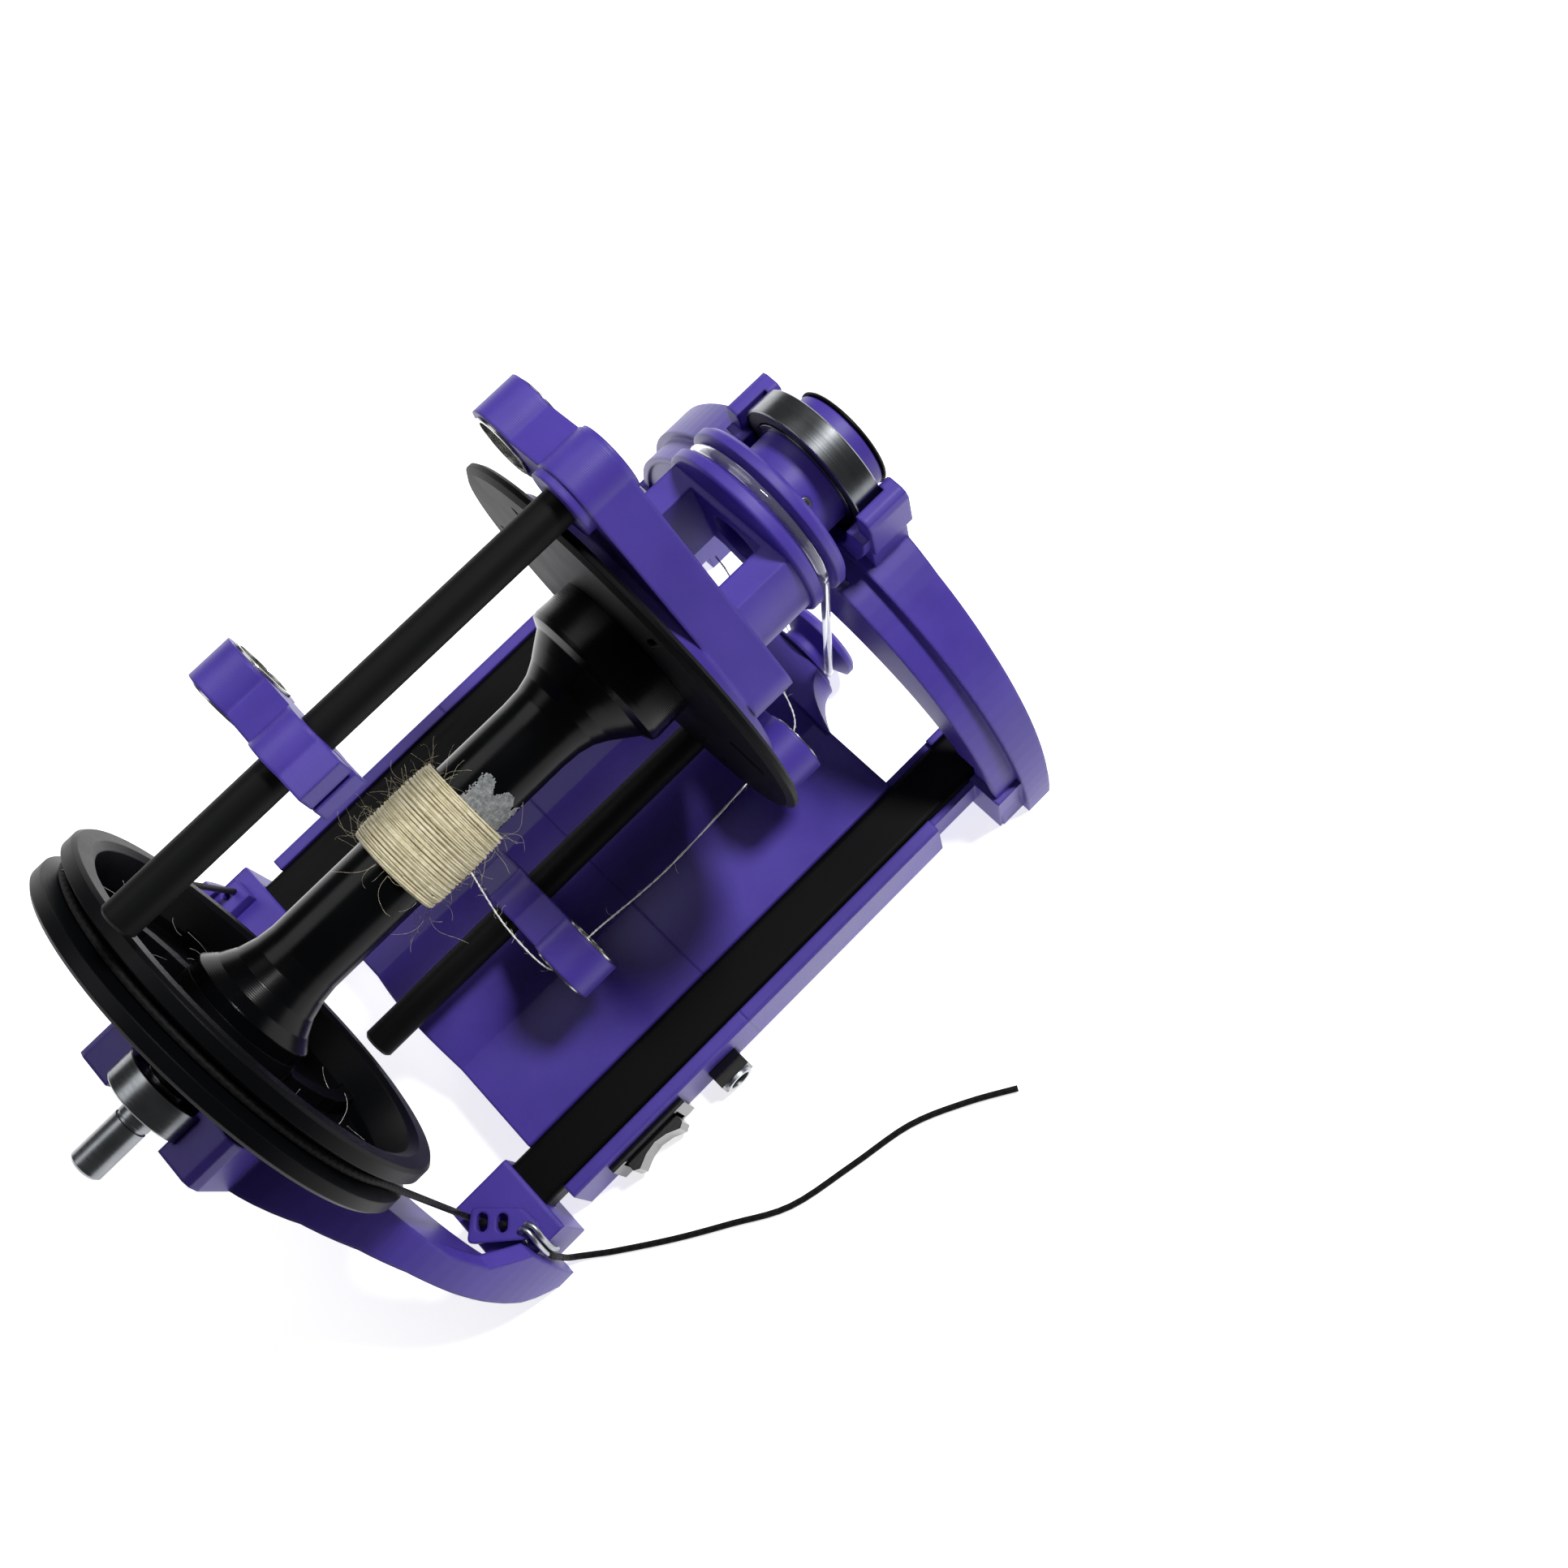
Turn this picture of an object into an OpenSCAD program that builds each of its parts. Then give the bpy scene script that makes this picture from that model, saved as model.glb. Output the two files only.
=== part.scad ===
// Electric spinning wheel: printed stand on two base bars, flyer on ball bearings, bobbin with
// a brake cord, small motor with a round clear belt. Millimetres, +Z up, -Y is the orifice end.
// The origin lies on the table under the flyer axis.

/* [Stand] */
// Height of the flyer axis above the table
axis_h = 90; // [89:0.5:96]
// Half width of the arches at the table
arch_half_w = 69.5; // [68:0.5:74]
// Drop from the flyer axis to the top of the front arch curve
front_drop = 10; // [6:0.5:12]
// Drop from the flyer axis to the top of the rear arch curve
rear_drop = 14; // [11:0.5:15]
// Depth of the arch band along Y
band_depth = 14.5; // [12:0.5:16]
// Thickness of the arch band
band_t = 4; // [3:0.5:6]
// Thickness of the web plate inside each arch
web_t = 6; // [4:0.5:7]
// Height of the opening under each arch
opening_h = 50; // [40:1:52]
// Front face of the front arch along Y
front_y = -103.5; // [-104:0.5:-102]
// Rear face of the rear foot along Y
rear_y = 80; // [78:0.5:82]

/* [Base] */
// Distance of each base bar from the centre line
rail_x = 50.3; // [49:0.1:52]
// Width of a base bar
rail_w = 13.2; // [11:0.1:14]
// Height of a base bar
rail_t = 8.9; // [7:0.1:9.5]
// Height of the top of the base bars
rail_top = 18.2; // [18:0.1:20]
// Front end of the housing along Y
house_front_y = -73.5; // [-75:0.5:-72]
// Rear end of the housing along Y
house_rear_y = 51.7; // [48:0.1:54]
// Joint between the two housing shells along Y
house_seam_y = -7.3; // [-20:0.1:5]
// Wall thickness of the housing
house_wall = 2.2; // [1.8:0.1:2.6]

/* [Flyer] */
// Distance of the flyer rods from the axis
rod_r = 56; // [55.5:0.5:58]
// Diameter of the flyer rods
rod_d = 8; // [7:0.5:8.5]
// Rear end of the flyer rods along Y
rod_end_y = 60; // [55:0.5:66]
// Turn of the flyer as it stands at rest, in degrees
flyer_turn = 3.6; // [0:0.1:10]
// Bore of the orifice
orifice_d = 12; // [8:0.5:14]
// Radius of the drive whorl ridges
whorl_r = 22.5; // [21.5:0.5:25]
// Angle from a rod to its yarn ring, in degrees
ring_angle = 23; // [20:1:28]
// Outer radius of the yarn rings
ring_r = 8.5; // [8:0.1:9]
// Bore radius of the metal eyelets
eyelet_r = 6; // [4.5:0.1:6.2]

/* [Bobbin] */
// Radius of the bobbin discs
bobbin_r = 50.2; // [46:0.2:50.4]
// Radius of the bobbin core
core_r = 9.2; // [8.6:0.1:11]
// Radius of the wound yarn
yarn_r = 11.6; // [11.4:0.1:16]
// Rear end of the wound yarn along Y
yarn_rear_y = 24; // [10:0.5:34]
// Length of the wound yarn
yarn_len = 22; // [10:0.5:28]

/* [Drive] */
// Height of the motor shaft
motor_z = 12.6; // [12.4:0.1:13]
// Radius of the front disc of the motor pulley
pulley_r = 12; // [10:0.2:12.2]
// Radius of the groove in the motor pulley
pulley_groove_r = 7; // [6:0.1:8]
// Diameter of the round belt
belt_d = 2.2; // [1.8:0.1:2.4]
// Diameter of the brake cord
brake_d = 1.6; // [1.2:0.1:1.8]

/* [Guides] */
// Middle of the upper sliding guide along Y
guide_1_y = 16; // [-30:1:40]
// Middle of the lower sliding guide along Y
guide_2_y = 11; // [-30:1:40]
// Length of a sliding guide along Y
guide_len = 10; // [8:0.5:12]

/* [Hidden] */
eps = 0.01;
fit = 0.05;
gap = 0.4;
round_fn = 96;
small_fn = 48;

// standard sizes that the bearings set
tube_d = 25;
shaft_d = 8;

// front thin-section bearing 37 x 25 x 7, rear bearing 22 x 8 x 7
fb_outer_r = 18.5;
fb_y0 = -107;
fb_w = 7;
rb_outer_r = 11;
rb_inner_r = shaft_d / 2;
rb_y0 = rear_y + 6;
rb_w = 7;
shaft_end_y = rear_y + 30.4;
clip_groove_y = rear_y + 16.8;
shaft_start_y = -60;

cradle_front = -110;
cradle_rear = -96.5;
cradle_r = fb_outer_r + 3.2;
prong_out_r = fb_outer_r + 4.3;
prong_low = -7;
prong_rear_y = -98.5;
web_front_y = -96;
arch_n = 60;
front_top_h = axis_h - front_drop;
rear_top_h = axis_h - rear_drop;

rail_bottom = rail_top - rail_t;
rail_in = rail_x - rail_w / 2;
rail_out = rail_x + rail_w / 2;
lip_t = 3.6;
side_x = rail_out + lip_t;
house_bottom = 1.2;
cover_t = 1.8;
house_edge_z = 17.6;
valley_x = 17;
valley_z = 16;
crown_z = 22.8;
shelf_z = 9.3;

bar_front_y = -62.5;
bar_rear_y = -52;
boss_rear_y = -50;
hub_rear_y = -49.4;
boss_r = rod_d / 2 + 4;
hub_r = 38;
neck_r = 21;
neck_front_y = -80.5;
whorl_front_y = -91;
whorl_groove_r = 19;
belt_y = -85.8;
belt_whorl_r = whorl_groove_r + belt_d / 2 + 0.12;
belt_pulley_r = pulley_groove_r + belt_d / 2 + 0.12;
tube_front_y = -112;

flange_y = -48.6;
flange_t = 2.8;
rim_front_y = rear_y - 19;
rim_rear_y = rear_y - 6.6;
groove_y = rear_y - 12.8;
groove_r = bobbin_r - 4;
boss_end_y = rear_y + 2;
rim_in_r = bobbin_r - 6.2;
spoke_start_r = 16;
spoke_step = (bobbin_r - 4.2 - spoke_start_r) / 6;
slot_in_r = bobbin_r - 17.2;
slot_len = 9;

motor_w = 16;
motor_t = 12;
motor_len = 26;
motor_front_y = -70;
motor_shaft_r = 1;

switch_y = 29.5;
jack_y = 4.4;
jack_z = 5.4;
hook_d = 1.5;

// colours
violet = [0.33, 0.27, 0.66];
black = [0.05, 0.05, 0.055];
steel = [0.72, 0.73, 0.74];
clear = [0.85, 0.87, 0.88];
cream = [0.90, 0.86, 0.75];
brass = [0.76, 0.62, 0.32];
green = [0.08, 0.32, 0.16];

// ---------- helpers ----------

// cylinder and ring along Y on the flyer axis
module y_rod(r, y0, y1, fn = round_fn) {
    translate([0, y0, 0]) rotate([-90, 0, 0]) cylinder(r = r, h = y1 - y0, $fn = fn);
}
module y_ring(ro, ri, y0, y1, fn = round_fn) {
    difference() {
        y_rod(ro, y0, y1, fn);
        y_rod(ri, y0 - 1, y1 + 1, fn);
    }
}
module on_axis() {
    translate([0, 0, axis_h]) children();
}
module in_flyer() {
    translate([0, 0, axis_h]) rotate([0, flyer_turn, 0]) children();
}
// profile drawn in X and Z, run along Y
module xz_prism(y0, y1) {
    translate([0, y1, 0]) rotate([90, 0, 0]) linear_extrude(height = y1 - y0) children();
}
// profile drawn in Y and Z, run along X
module yz_prism(x0, x1) {
    translate([x0, 0, 0]) rotate([90, 0, 90]) linear_extrude(height = x1 - x0) children();
}
// profile drawn as [radius, y], turned round the Y axis
module y_turn(fn = round_fn) {
    rotate([-90, 0, 0]) rotate_extrude($fn = fn) children();
}
module both_sides() {
    children();
    mirror([1, 0, 0]) children();
}
module half_turned() {
    rotate([0, 180, 0]) children();
}

// half ellipse standing on the table, as points
function arch_pts(a, b, n = arch_n) = [for (i = [0:n]) [a * cos(180 * i / n), b * sin(180 * i / n)]];

// polygon with every corner rounded to r
function unit(v) = v / norm(v);
function corner_arc(a, b, c, r, n) =
    let (u = unit(a - b), w = unit(c - b),
        half = acos(max(-1, min(1, u * w))) / 2,
        d = r / tan(half), mid = b + unit(u + w) * r / sin(half),
        p = b + u * d - mid, q = b + w * d - mid,
        a0 = atan2(p[1], p[0]), a1 = atan2(q[1], q[0]),
        turn = a1 - a0 > 180 ? a1 - a0 - 360 : a1 - a0 < -180 ? a1 - a0 + 360 : a1 - a0)
    [for (i = [0:n]) mid + r * [cos(a0 + turn * i / n), sin(a0 + turn * i / n)]];
function rounded(p, r, n = 5) =
    let (m = len(p))
    [for (i = [0:m - 1]) each corner_arc(p[(i + m - 1) % m], p[i], p[(i + 1) % m], r, n)];

// smooth points along a hand-set route
function spline_pt(p0, p1, p2, p3, t) =
    0.5 * ((2 * p1) + (p2 - p0) * t + (2 * p0 - 5 * p1 + 4 * p2 - p3) * t * t
        + (3 * p1 - p0 - 3 * p2 + p3) * t * t * t);
function spline(p, k) =
    let (m = len(p))
    [for (i = [0:m - 2]) for (j = [0:k - 1])
        spline_pt(p[max(i - 1, 0)], p[i], p[i + 1], p[min(i + 2, m - 1)], j / k),
     p[m - 1]];

// round tube swept along points
function frame_at(p, i, ring) =
    let (m = len(p),
        a = ring ? p[(i + m - 1) % m] : p[max(i - 1, 0)],
        b = ring ? p[(i + 1) % m] : p[min(i + 1, m - 1)])
    unit(b - a);
function side_of(t, up) = unit(cross(t, up));
module tube(p, d, sides = 8, ring = false, up = [0, 1, 0]) {
    m = len(p);
    pts = [for (i = [0:m - 1])
        let (t = frame_at(p, i, ring), s = side_of(t, up), w = cross(s, t))
        for (k = [0:sides - 1])
            p[i] + d / 2 * (s * cos(360 * k / sides) + w * sin(360 * k / sides))];
    last = ring ? m - 1 : m - 2;
    walls = [for (i = [0:last]) for (k = [0:sides - 1])
        let (j = (i + 1) % m, l = (k + 1) % sides)
        [i * sides + k, i * sides + l, j * sides + l, j * sides + k]];
    caps = ring ? [] : [[for (k = [sides - 1:-1:0]) k],
        [for (k = [0:sides - 1]) (m - 1) * sides + k]];
    polyhedron(points = pts, faces = concat(walls, caps), convexity = 6);
}

// point on a circle of radius r in the flyer, measured from the upper rod towards +X
function polar(r, a) = [r * sin(a), r * cos(a)];
ring_c = polar(rod_r, ring_angle);

// ---------- stand ----------

module arch_outline(a, b) {
    polygon(arch_pts(a, b));
}
module arch_band(top_h, in, y0, y1) {
    xz_prism(y0, y1) difference() {
        arch_outline(arch_half_w - in, top_h - in);
        polygon([for (p = arch_pts(arch_half_w - band_t, top_h - band_t)) [p[0], p[1] - eps]]);
        translate([-arch_half_w + band_t, -1]) square([2 * (arch_half_w - band_t), 1 + eps]);
    }
}
module arch_web(top_h, y0, y1) {
    xz_prism(y0, y1) difference() {
        arch_outline(arch_half_w - 2.6, top_h - 2.6);
        polygon([for (p = arch_pts(arch_half_w - 11, opening_h)) [p[0], p[1] - eps]]);
        translate([-arch_half_w + 11, -1]) square([2 * (arch_half_w - 11), 1 + eps]);
    }
}

socket_wall = 1.8;
socket_floor = 3;

// side view of the front arch: its front edge sweeps forward to carry the bearing
module front_side() {
    h = front_top_h;
    yz_prism(-2 * arch_half_w, 2 * arch_half_w) polygon([[front_y, -1], [front_y - 0.5, 0.19 * h],
        [front_y - 1.5, 0.4 * h], [front_y - 2.3, 0.575 * h], [front_y - 3, 0.71 * h],
        [front_y - 3.7, 0.81 * h], [front_y - 4.3, 0.89 * h], [front_y - 5.3, 0.95 * h],
        [front_y - 6.4, 1.02 * h], [cradle_front, axis_h], [front_rim_y, axis_h],
        [front_rim_y, -1]]);
}
front_rim_y = -96;
rim_step = 2.2;
prong_h = 6.8;

module front_maiden() {
    color(violet) difference() {
        union() {
            // proud front rim, and the lower step behind it
            intersection() {
                arch_band(front_top_h, 0, cradle_front - 1, front_rim_y);
                front_side();
            }
            arch_band(front_top_h, rim_step, front_rim_y - eps, front_y + band_depth);
            arch_web(front_top_h, web_front_y, web_front_y + web_t);
            // bearing cradle with its two prongs
            on_axis() intersection() {
                y_rod(cradle_r, cradle_front, cradle_rear + eps);
                translate([-cradle_r - 1, cradle_front - 1, -cradle_r - 1])
                    cube([2 * cradle_r + 2, 20, cradle_r + 1]);
            }
            on_axis() both_sides() {
                xz_prism(cradle_front + 1, prong_rear_y) polygon([[fb_outer_r - 2, -16],
                    [cradle_r, -16], [cradle_r, prong_low + 1], [fb_outer_r - 2, prong_low + 1]]);
                xz_prism(cradle_front, prong_rear_y) polygon([[fb_outer_r - 2, prong_low],
                    [prong_out_r - 0.8, prong_low], [prong_out_r, prong_low + 1],
                    [prong_out_r, prong_h - 2.4], [prong_out_r - 0.7, prong_h - 0.7],
                    [prong_out_r - 2, prong_h], [fb_outer_r - 1, prong_h],
                    [fb_outer_r - 2, prong_h - 1]]);
            }
            // feet and the channels that hold the base bars
            both_sides() {
                translate([rail_in - socket_wall, web_front_y - 2, 0])
                    cube([arch_half_w - rail_in + socket_wall - 2.6, web_t + 4, rail_top]);
                translate([rail_in - socket_wall, web_front_y, rail_bottom - socket_floor])
                    cube([rail_w + 2 * socket_wall, house_front_y - web_front_y,
                        rail_t + socket_floor - 1.2]);
            }
        }
        // bearing seat with a lip at each side, open at the top
        on_axis() {
            y_rod(fb_outer_r, fb_y0, fb_y0 + fb_w);
            y_rod(fb_outer_r - 2, cradle_front - 1, fb_y0 + eps);
            y_rod(fb_outer_r - 2, fb_y0 + fb_w - eps, front_y + band_depth + 5);
            translate([-fb_outer_r, fb_y0, 0]) cube([2 * fb_outer_r, 30, 30]);
            translate([-fb_outer_r + 2, cradle_front - 1, 0]) cube([2 * fb_outer_r - 4, 30, 30]);
            // room for the drive whorl and its belt
            y_rod(whorl_r + 2.5, whorl_front_y - 1.2, front_y + band_depth + 5);
        }
        // bores for the base bars
        both_sides() translate([rail_in, web_front_y - 1.5, rail_bottom])
            cube([rail_w, 60, rail_t + 5]);
    }
}

// side view of the rear arch: its rear edge sweeps back to carry the bearing
module rear_side() {
    h = rear_top_h;
    yz_prism(-2 * arch_half_w, 2 * arch_half_w) polygon([[rear_y - band_depth + 1, -1],
        [rear_y - 9, -1], [rear_y - 8, 1.6], [rear_y - 6.2, 5], [rear_y - 4.2, 8.6],
        [rear_y - 2, 13.6], [rear_y - 0.2, 0.27 * h], [rear_y + 1.5, 0.37 * h],
        [rear_y + 3, 0.48 * h], [rear_y + 4.8, 0.645 * h], [rear_y + 7.2, 0.77 * h],
        [rear_y + 10.8, 0.874 * h], [rear_y + 15, 0.942 * h], [rear_y + 16.4, 0.966 * h],
        [rear_y + 16.4, axis_h + 30], [rear_y - 3.6, axis_h + 30], [rear_y - 3.6, 44],
        [rear_y - 6, 34], [rear_y - band_depth + 1, 26]]);
}
rear_block_y = rear_y - 22.4;
rear_block_h = rail_top + 1.2;
rear_block_out = arch_half_w - 5.5;

module rear_maiden() {
    color(violet) difference() {
        union() {
            intersection() {
                arch_band(rear_top_h, 0, rear_y - band_depth, rear_y + 17);
                rear_side();
            }
            intersection() {
                arch_web(rear_top_h, rear_y - 3.6, rear_y + 1.4);
                rear_side();
            }
            // bearing cradle with its two prongs
            on_axis() y_rod(rb_outer_r + 5.5, rear_y, rear_y + 16.4);
            on_axis() xz_prism(rear_y + 4, rear_y + 16.4) both_sides()
                polygon([[rb_outer_r - 0.5, -18], [19, -18], [20.5, -2], [19.6, 0.6], [18, 1.5],
                    [rb_outer_r - 0.5, 1.5]]);
            // rib from the cradle down the web
            translate([-7, rear_y, opening_h + 2]) cube([14, 9, axis_h - opening_h - 12]);
            // closed blocks over the ends of the base bars
            both_sides() translate([rail_in - 1.6, rear_block_y, 0])
                xz_block(rear_block_out - rail_in + 1.6, bar_rear_end - rear_block_y + 1.6, rear_block_h);
        }
        on_axis() {
            y_rod(rb_outer_r, rb_y0, rb_y0 + rb_w);
            y_rod(rb_outer_r - 1.5, rear_y + 3, rb_y0 + eps);
            y_rod(rb_outer_r - 1.5, rb_y0 + rb_w - eps, rear_y + 20);
            translate([-rb_outer_r, rb_y0, 0]) cube([2 * rb_outer_r, rb_w, 30]);
            translate([-rb_outer_r + 1.5, rear_y + 3, 0]) cube([2 * rb_outer_r - 3, 20, 30]);
            translate([-18, rear_y - 10, 1.5]) cube([36, 30, 30]);
            // room for the bobbin boss
            y_rod(16.5, rear_y - 10, rear_y + 3.8);
            translate([-16.5, rear_y - 10, 0]) cube([33, 13.8, 30]);
        }
        both_sides() translate([rail_in, rear_block_y - 1, rail_bottom])
            cube([rail_w, bar_rear_end - rear_block_y + 1, rail_t]);
    }
}
module xz_block(w, d, h) {
    yz_prism(0, w) polygon(rounded([[0, 0], [d, 0], [d, h], [0, h]], 0.8, 3));
}

bar_front_end = web_front_y - 1.5;
bar_rear_end = rear_y - 6;
module base_bar(side) {
    color(black) translate([side * rail_x, 0, 0]) xz_prism(bar_front_end, bar_rear_end)
        polygon(rounded([[-rail_w / 2, rail_bottom], [rail_w / 2, rail_bottom],
            [rail_w / 2, rail_top], [-rail_w / 2, rail_top]], 1.6, 4));
}
module base_bar_left() {
    base_bar(-1);
}
module base_bar_right() {
    base_bar(1);
}

// ---------- housing ----------

// right half of the top skin, from the centre line out to the bar
function crown(n = 8) = [for (i = [0:n]) let (x = valley_x * i / n)
    [x, valley_z + (crown_z - valley_z) * (cos(90 * i / n))]];
function skin_top() = concat(crown(), [[rail_in - 0.4, house_edge_z]]);
module house_section() {
    top = skin_top();
    low = [for (i = [len(top) - 1:-1:0]) [min(top[i][0], rail_in - house_wall), top[i][1] - house_wall]];
    both_sides() {
        polygon(concat(top, low));
        // wall beside the bar, floor under it and the outer wall with its lip
        polygon([[rail_in - house_wall, house_bottom], [rail_in, house_bottom],
            [rail_in, rail_bottom - 2], [rail_in, rail_top - 1.4], [rail_in - 0.4, house_edge_z],
            [rail_in - house_wall, house_edge_z - 0.1]]);
        polygon([[rail_in - 0.5, rail_bottom - 2], [rail_out + 0.5, rail_bottom - 2],
            [rail_out + 0.5, rail_bottom], [rail_in - 0.5, rail_bottom]]);
        polygon([[rail_out, house_bottom], [side_x, house_bottom], [side_x, rail_top - 0.6],
            [side_x - 0.6, rail_top], [rail_out, rail_top]]);
    }
}
module house_fill() {
    both_sides() polygon(concat([[0, house_bottom]], [[rail_in - 0.5, house_bottom]],
        [for (i = [len(skin_top()) - 1:-1:0]) skin_top()[i]]));
}
module house_shell(y0, y1) {
    xz_prism(y0, y1) house_section();
}
module cover_screw_places() {
    for (x = [-36, 36]) for (y = [-62, -18, 4, 42]) translate([x, y, 0]) children();
}
module screw_posts(y0, y1) {
    intersection() {
        cover_screw_places() translate([0, 0, house_bottom + cover_t])
            cylinder(r = 3.4, h = valley_z - house_bottom - cover_t - 1, $fn = small_fn);
        translate([-60, y0, 0]) cube([120, y1 - y0, 40]);
    }
}
module screw_holes() {
    cover_screw_places() translate([0, 0, -1]) cylinder(r = 1.25, h = 12.1, $fn = small_fn);
}
// flared nose behind the motor pulley
nose_front_y = -82.8;
nose_r = 12.4;
nose_half_w = 22;
nose_top = 21;
module motor_nose() {
    y1 = house_front_y + 1;
    rise = nose_half_w - nose_r;
    intersection() {
        translate([0, 0, motor_z]) y_turn() polygon(concat([[0, y1], [0, nose_front_y]],
            [for (i = [0:8]) let (t = i / 8)
                [nose_r + rise * pow(t, 2.2), nose_front_y + (house_front_y - nose_front_y) * t]],
            [[nose_half_w, y1]]));
        xz_prism(nose_front_y - 1, y1 + 1)
            polygon(rounded([[-nose_half_w - 1, -20], [nose_half_w + 1, -20],
                [nose_half_w + 1, nose_top], [-nose_half_w - 1, nose_top]], 9));
        translate([-30, nose_front_y - 1, house_bottom]) cube([60, 20, 30]);
    }
}
module housing_front() {
    color(violet) difference() {
        union() {
            house_shell(house_front_y, house_seam_y);
            xz_prism(house_front_y, house_front_y + 3.5) house_fill();
            screw_posts(house_front_y, house_seam_y);
            motor_nose();
        }
        translate([0, 0, motor_z]) y_rod(3.4, nose_front_y - 1, motor_front_y + 1, small_fn);
        for (s = [-1, 1]) translate([s * 7, 0, motor_z]) {
            y_rod(1.1, house_front_y - 1, motor_front_y + 1, small_fn);
            y_rod(2.3, nose_front_y - 1, house_front_y, small_fn);
        }
        cover_room();
        screw_holes();
    }
}
module housing_rear() {
    color(violet) difference() {
        union() {
            house_shell(house_seam_y, house_rear_y);
            xz_prism(house_rear_y - house_wall, house_rear_y) house_fill();
            screw_posts(house_seam_y, house_rear_y);
        }
        cover_room();
        screw_holes();
        // openings for the rocker switch and the power jack
        translate([-side_x - 1, switch_y - 10.5, 2]) cube([18, 21, 5.2]);
        translate([-side_x - 1, jack_y - 4.5, house_bottom - 1]) cube([18, 9, rail_bottom]);
    }
}
cover_half = rail_in - house_wall - 0.2;
module cover_room() {
    translate([-cover_half - 0.2, house_front_y + 3.3, house_bottom - 1])
        cube([2 * cover_half + 0.4, house_rear_y - house_front_y - 5.3, cover_t + 1]);
}
module housing_cover() {
    color(violet) difference() {
        translate([-cover_half, house_front_y + 3.5, house_bottom])
            cube([2 * cover_half, house_rear_y - house_front_y - 5.7, cover_t]);
        screw_holes();
        for (i = [-3:3]) translate([i * 6 - 1, 12, 0]) cube([2, 24, 5]);
    }
}
module cover_screws() {
    color(steel) cover_screw_places() {
        translate([0, 0, 0.2]) cylinder(r = 2.6, h = 1, $fn = small_fn);
        translate([0, 0, 1.1]) cylinder(r = 1.25, h = 9.9, $fn = small_fn);
    }
}

// ---------- drive ----------

module motor_can() {
    color(steel) translate([0, 0, motor_z]) {
        difference() {
            intersection() {
                y_rod(motor_w / 2, motor_front_y, motor_front_y + motor_len);
                translate([-motor_w, motor_front_y, -motor_t / 2])
                    cube([2 * motor_w, motor_len, motor_t]);
            }
            y_rod(motor_shaft_r + fit, motor_front_y - 1, motor_front_y + motor_len - 5, small_fn);
        }
        difference() {
            y_rod(3, motor_front_y - 1.5, motor_front_y + eps, small_fn);
            y_rod(motor_shaft_r + 0.3, motor_front_y - 3, motor_front_y + 1, small_fn);
        }
    }
}
module motor_shaft() {
    color(steel) translate([0, 0, motor_z])
        y_rod(motor_shaft_r, whorl_front_y - 1.4, motor_front_y + 20, small_fn);
}
module motor_pulley() {
    color(violet) translate([0, 0, motor_z]) difference() {
        y_turn() polygon([[0.2, whorl_front_y - 1], [pulley_r - 1, whorl_front_y - 1],
            [pulley_r, whorl_front_y], [pulley_r, whorl_front_y + 1.6],
            [pulley_groove_r, belt_y - 1.2], [pulley_groove_r, belt_y + 1.2],
            [pulley_r - 1.4, belt_y + 2], [pulley_r - 1.4, nose_front_y - 0.5],
            [0.2, nose_front_y - 0.5]]);
        y_rod(motor_shaft_r, whorl_front_y - 2, nose_front_y, small_fn);
    }
}
module motor_screws() {
    color(steel) for (s = [-1, 1]) translate([s * 7, 0, motor_z]) {
        y_rod(1.9, house_front_y - 1, house_front_y, small_fn);
        y_rod(1, house_front_y - eps, motor_front_y - 0.1, small_fn);
    }
}
// belt loop: round the whorl, down to the pulley and back
belt_span = axis_h - motor_z;
belt_lean = asin((belt_whorl_r - belt_pulley_r) / belt_span);
function belt_route(n = 40, m = 20, k = 10) = concat(
    [for (i = [0:n]) let (a = -belt_lean + (180 + 2 * belt_lean) * i / n)
        [belt_whorl_r * cos(a), belt_y, axis_h + belt_whorl_r * sin(a)]],
    [for (i = [1:k - 1]) let (t = i / k, a = 180 + belt_lean)
        [(belt_whorl_r + (belt_pulley_r - belt_whorl_r) * t) * cos(a), belt_y,
         axis_h - belt_span * t + (belt_whorl_r + (belt_pulley_r - belt_whorl_r) * t) * sin(a)]],
    [for (i = [0:m]) let (a = 180 + belt_lean + (180 - 2 * belt_lean) * i / m)
        [belt_pulley_r * cos(a), belt_y, motor_z + belt_pulley_r * sin(a)]],
    [for (i = [1:k - 1]) let (t = 1 - i / k, a = -belt_lean)
        [(belt_whorl_r + (belt_pulley_r - belt_whorl_r) * t) * cos(a), belt_y,
         axis_h - belt_span * t + (belt_whorl_r + (belt_pulley_r - belt_whorl_r) * t) * sin(a)]]);
module drive_belt() {
    color(clear) tube(belt_route(), belt_d, 8, true);
}
module speed_board() {
    color(green) translate([-26, 0, house_bottom + cover_t]) {
        translate([0, -28, 3]) cube([44, 34, 1.6]);
        for (x = [3, 41]) for (y = [-25, 3]) translate([x, y, 0]) cylinder(r = 1.6, h = 3, $fn = small_fn);
        translate([6, -20, 4.6 - eps]) cube([9, 12, 3]);
        translate([24, -16, 4.6 - eps]) cylinder(r = 4, h = 4.6, $fn = small_fn);
        translate([34, -22, 4.6 - eps]) cube([7, 10, 4.4]);
    }
}
module power_jack() {
    color(black) difference() {
        translate([-side_x - 5, jack_y - 4.5, jack_z - 4]) cube([18, 9, 7.8]);
        translate([-side_x - 6, jack_y, jack_z]) rotate([0, 90, 0]) cylinder(r = 3.1, h = 13, $fn = small_fn);
    }
    color(black) translate([-side_x - 5, jack_y, jack_z]) rotate([0, 90, 0])
        cylinder(r = 0.9, h = 13, $fn = small_fn);
}
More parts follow.
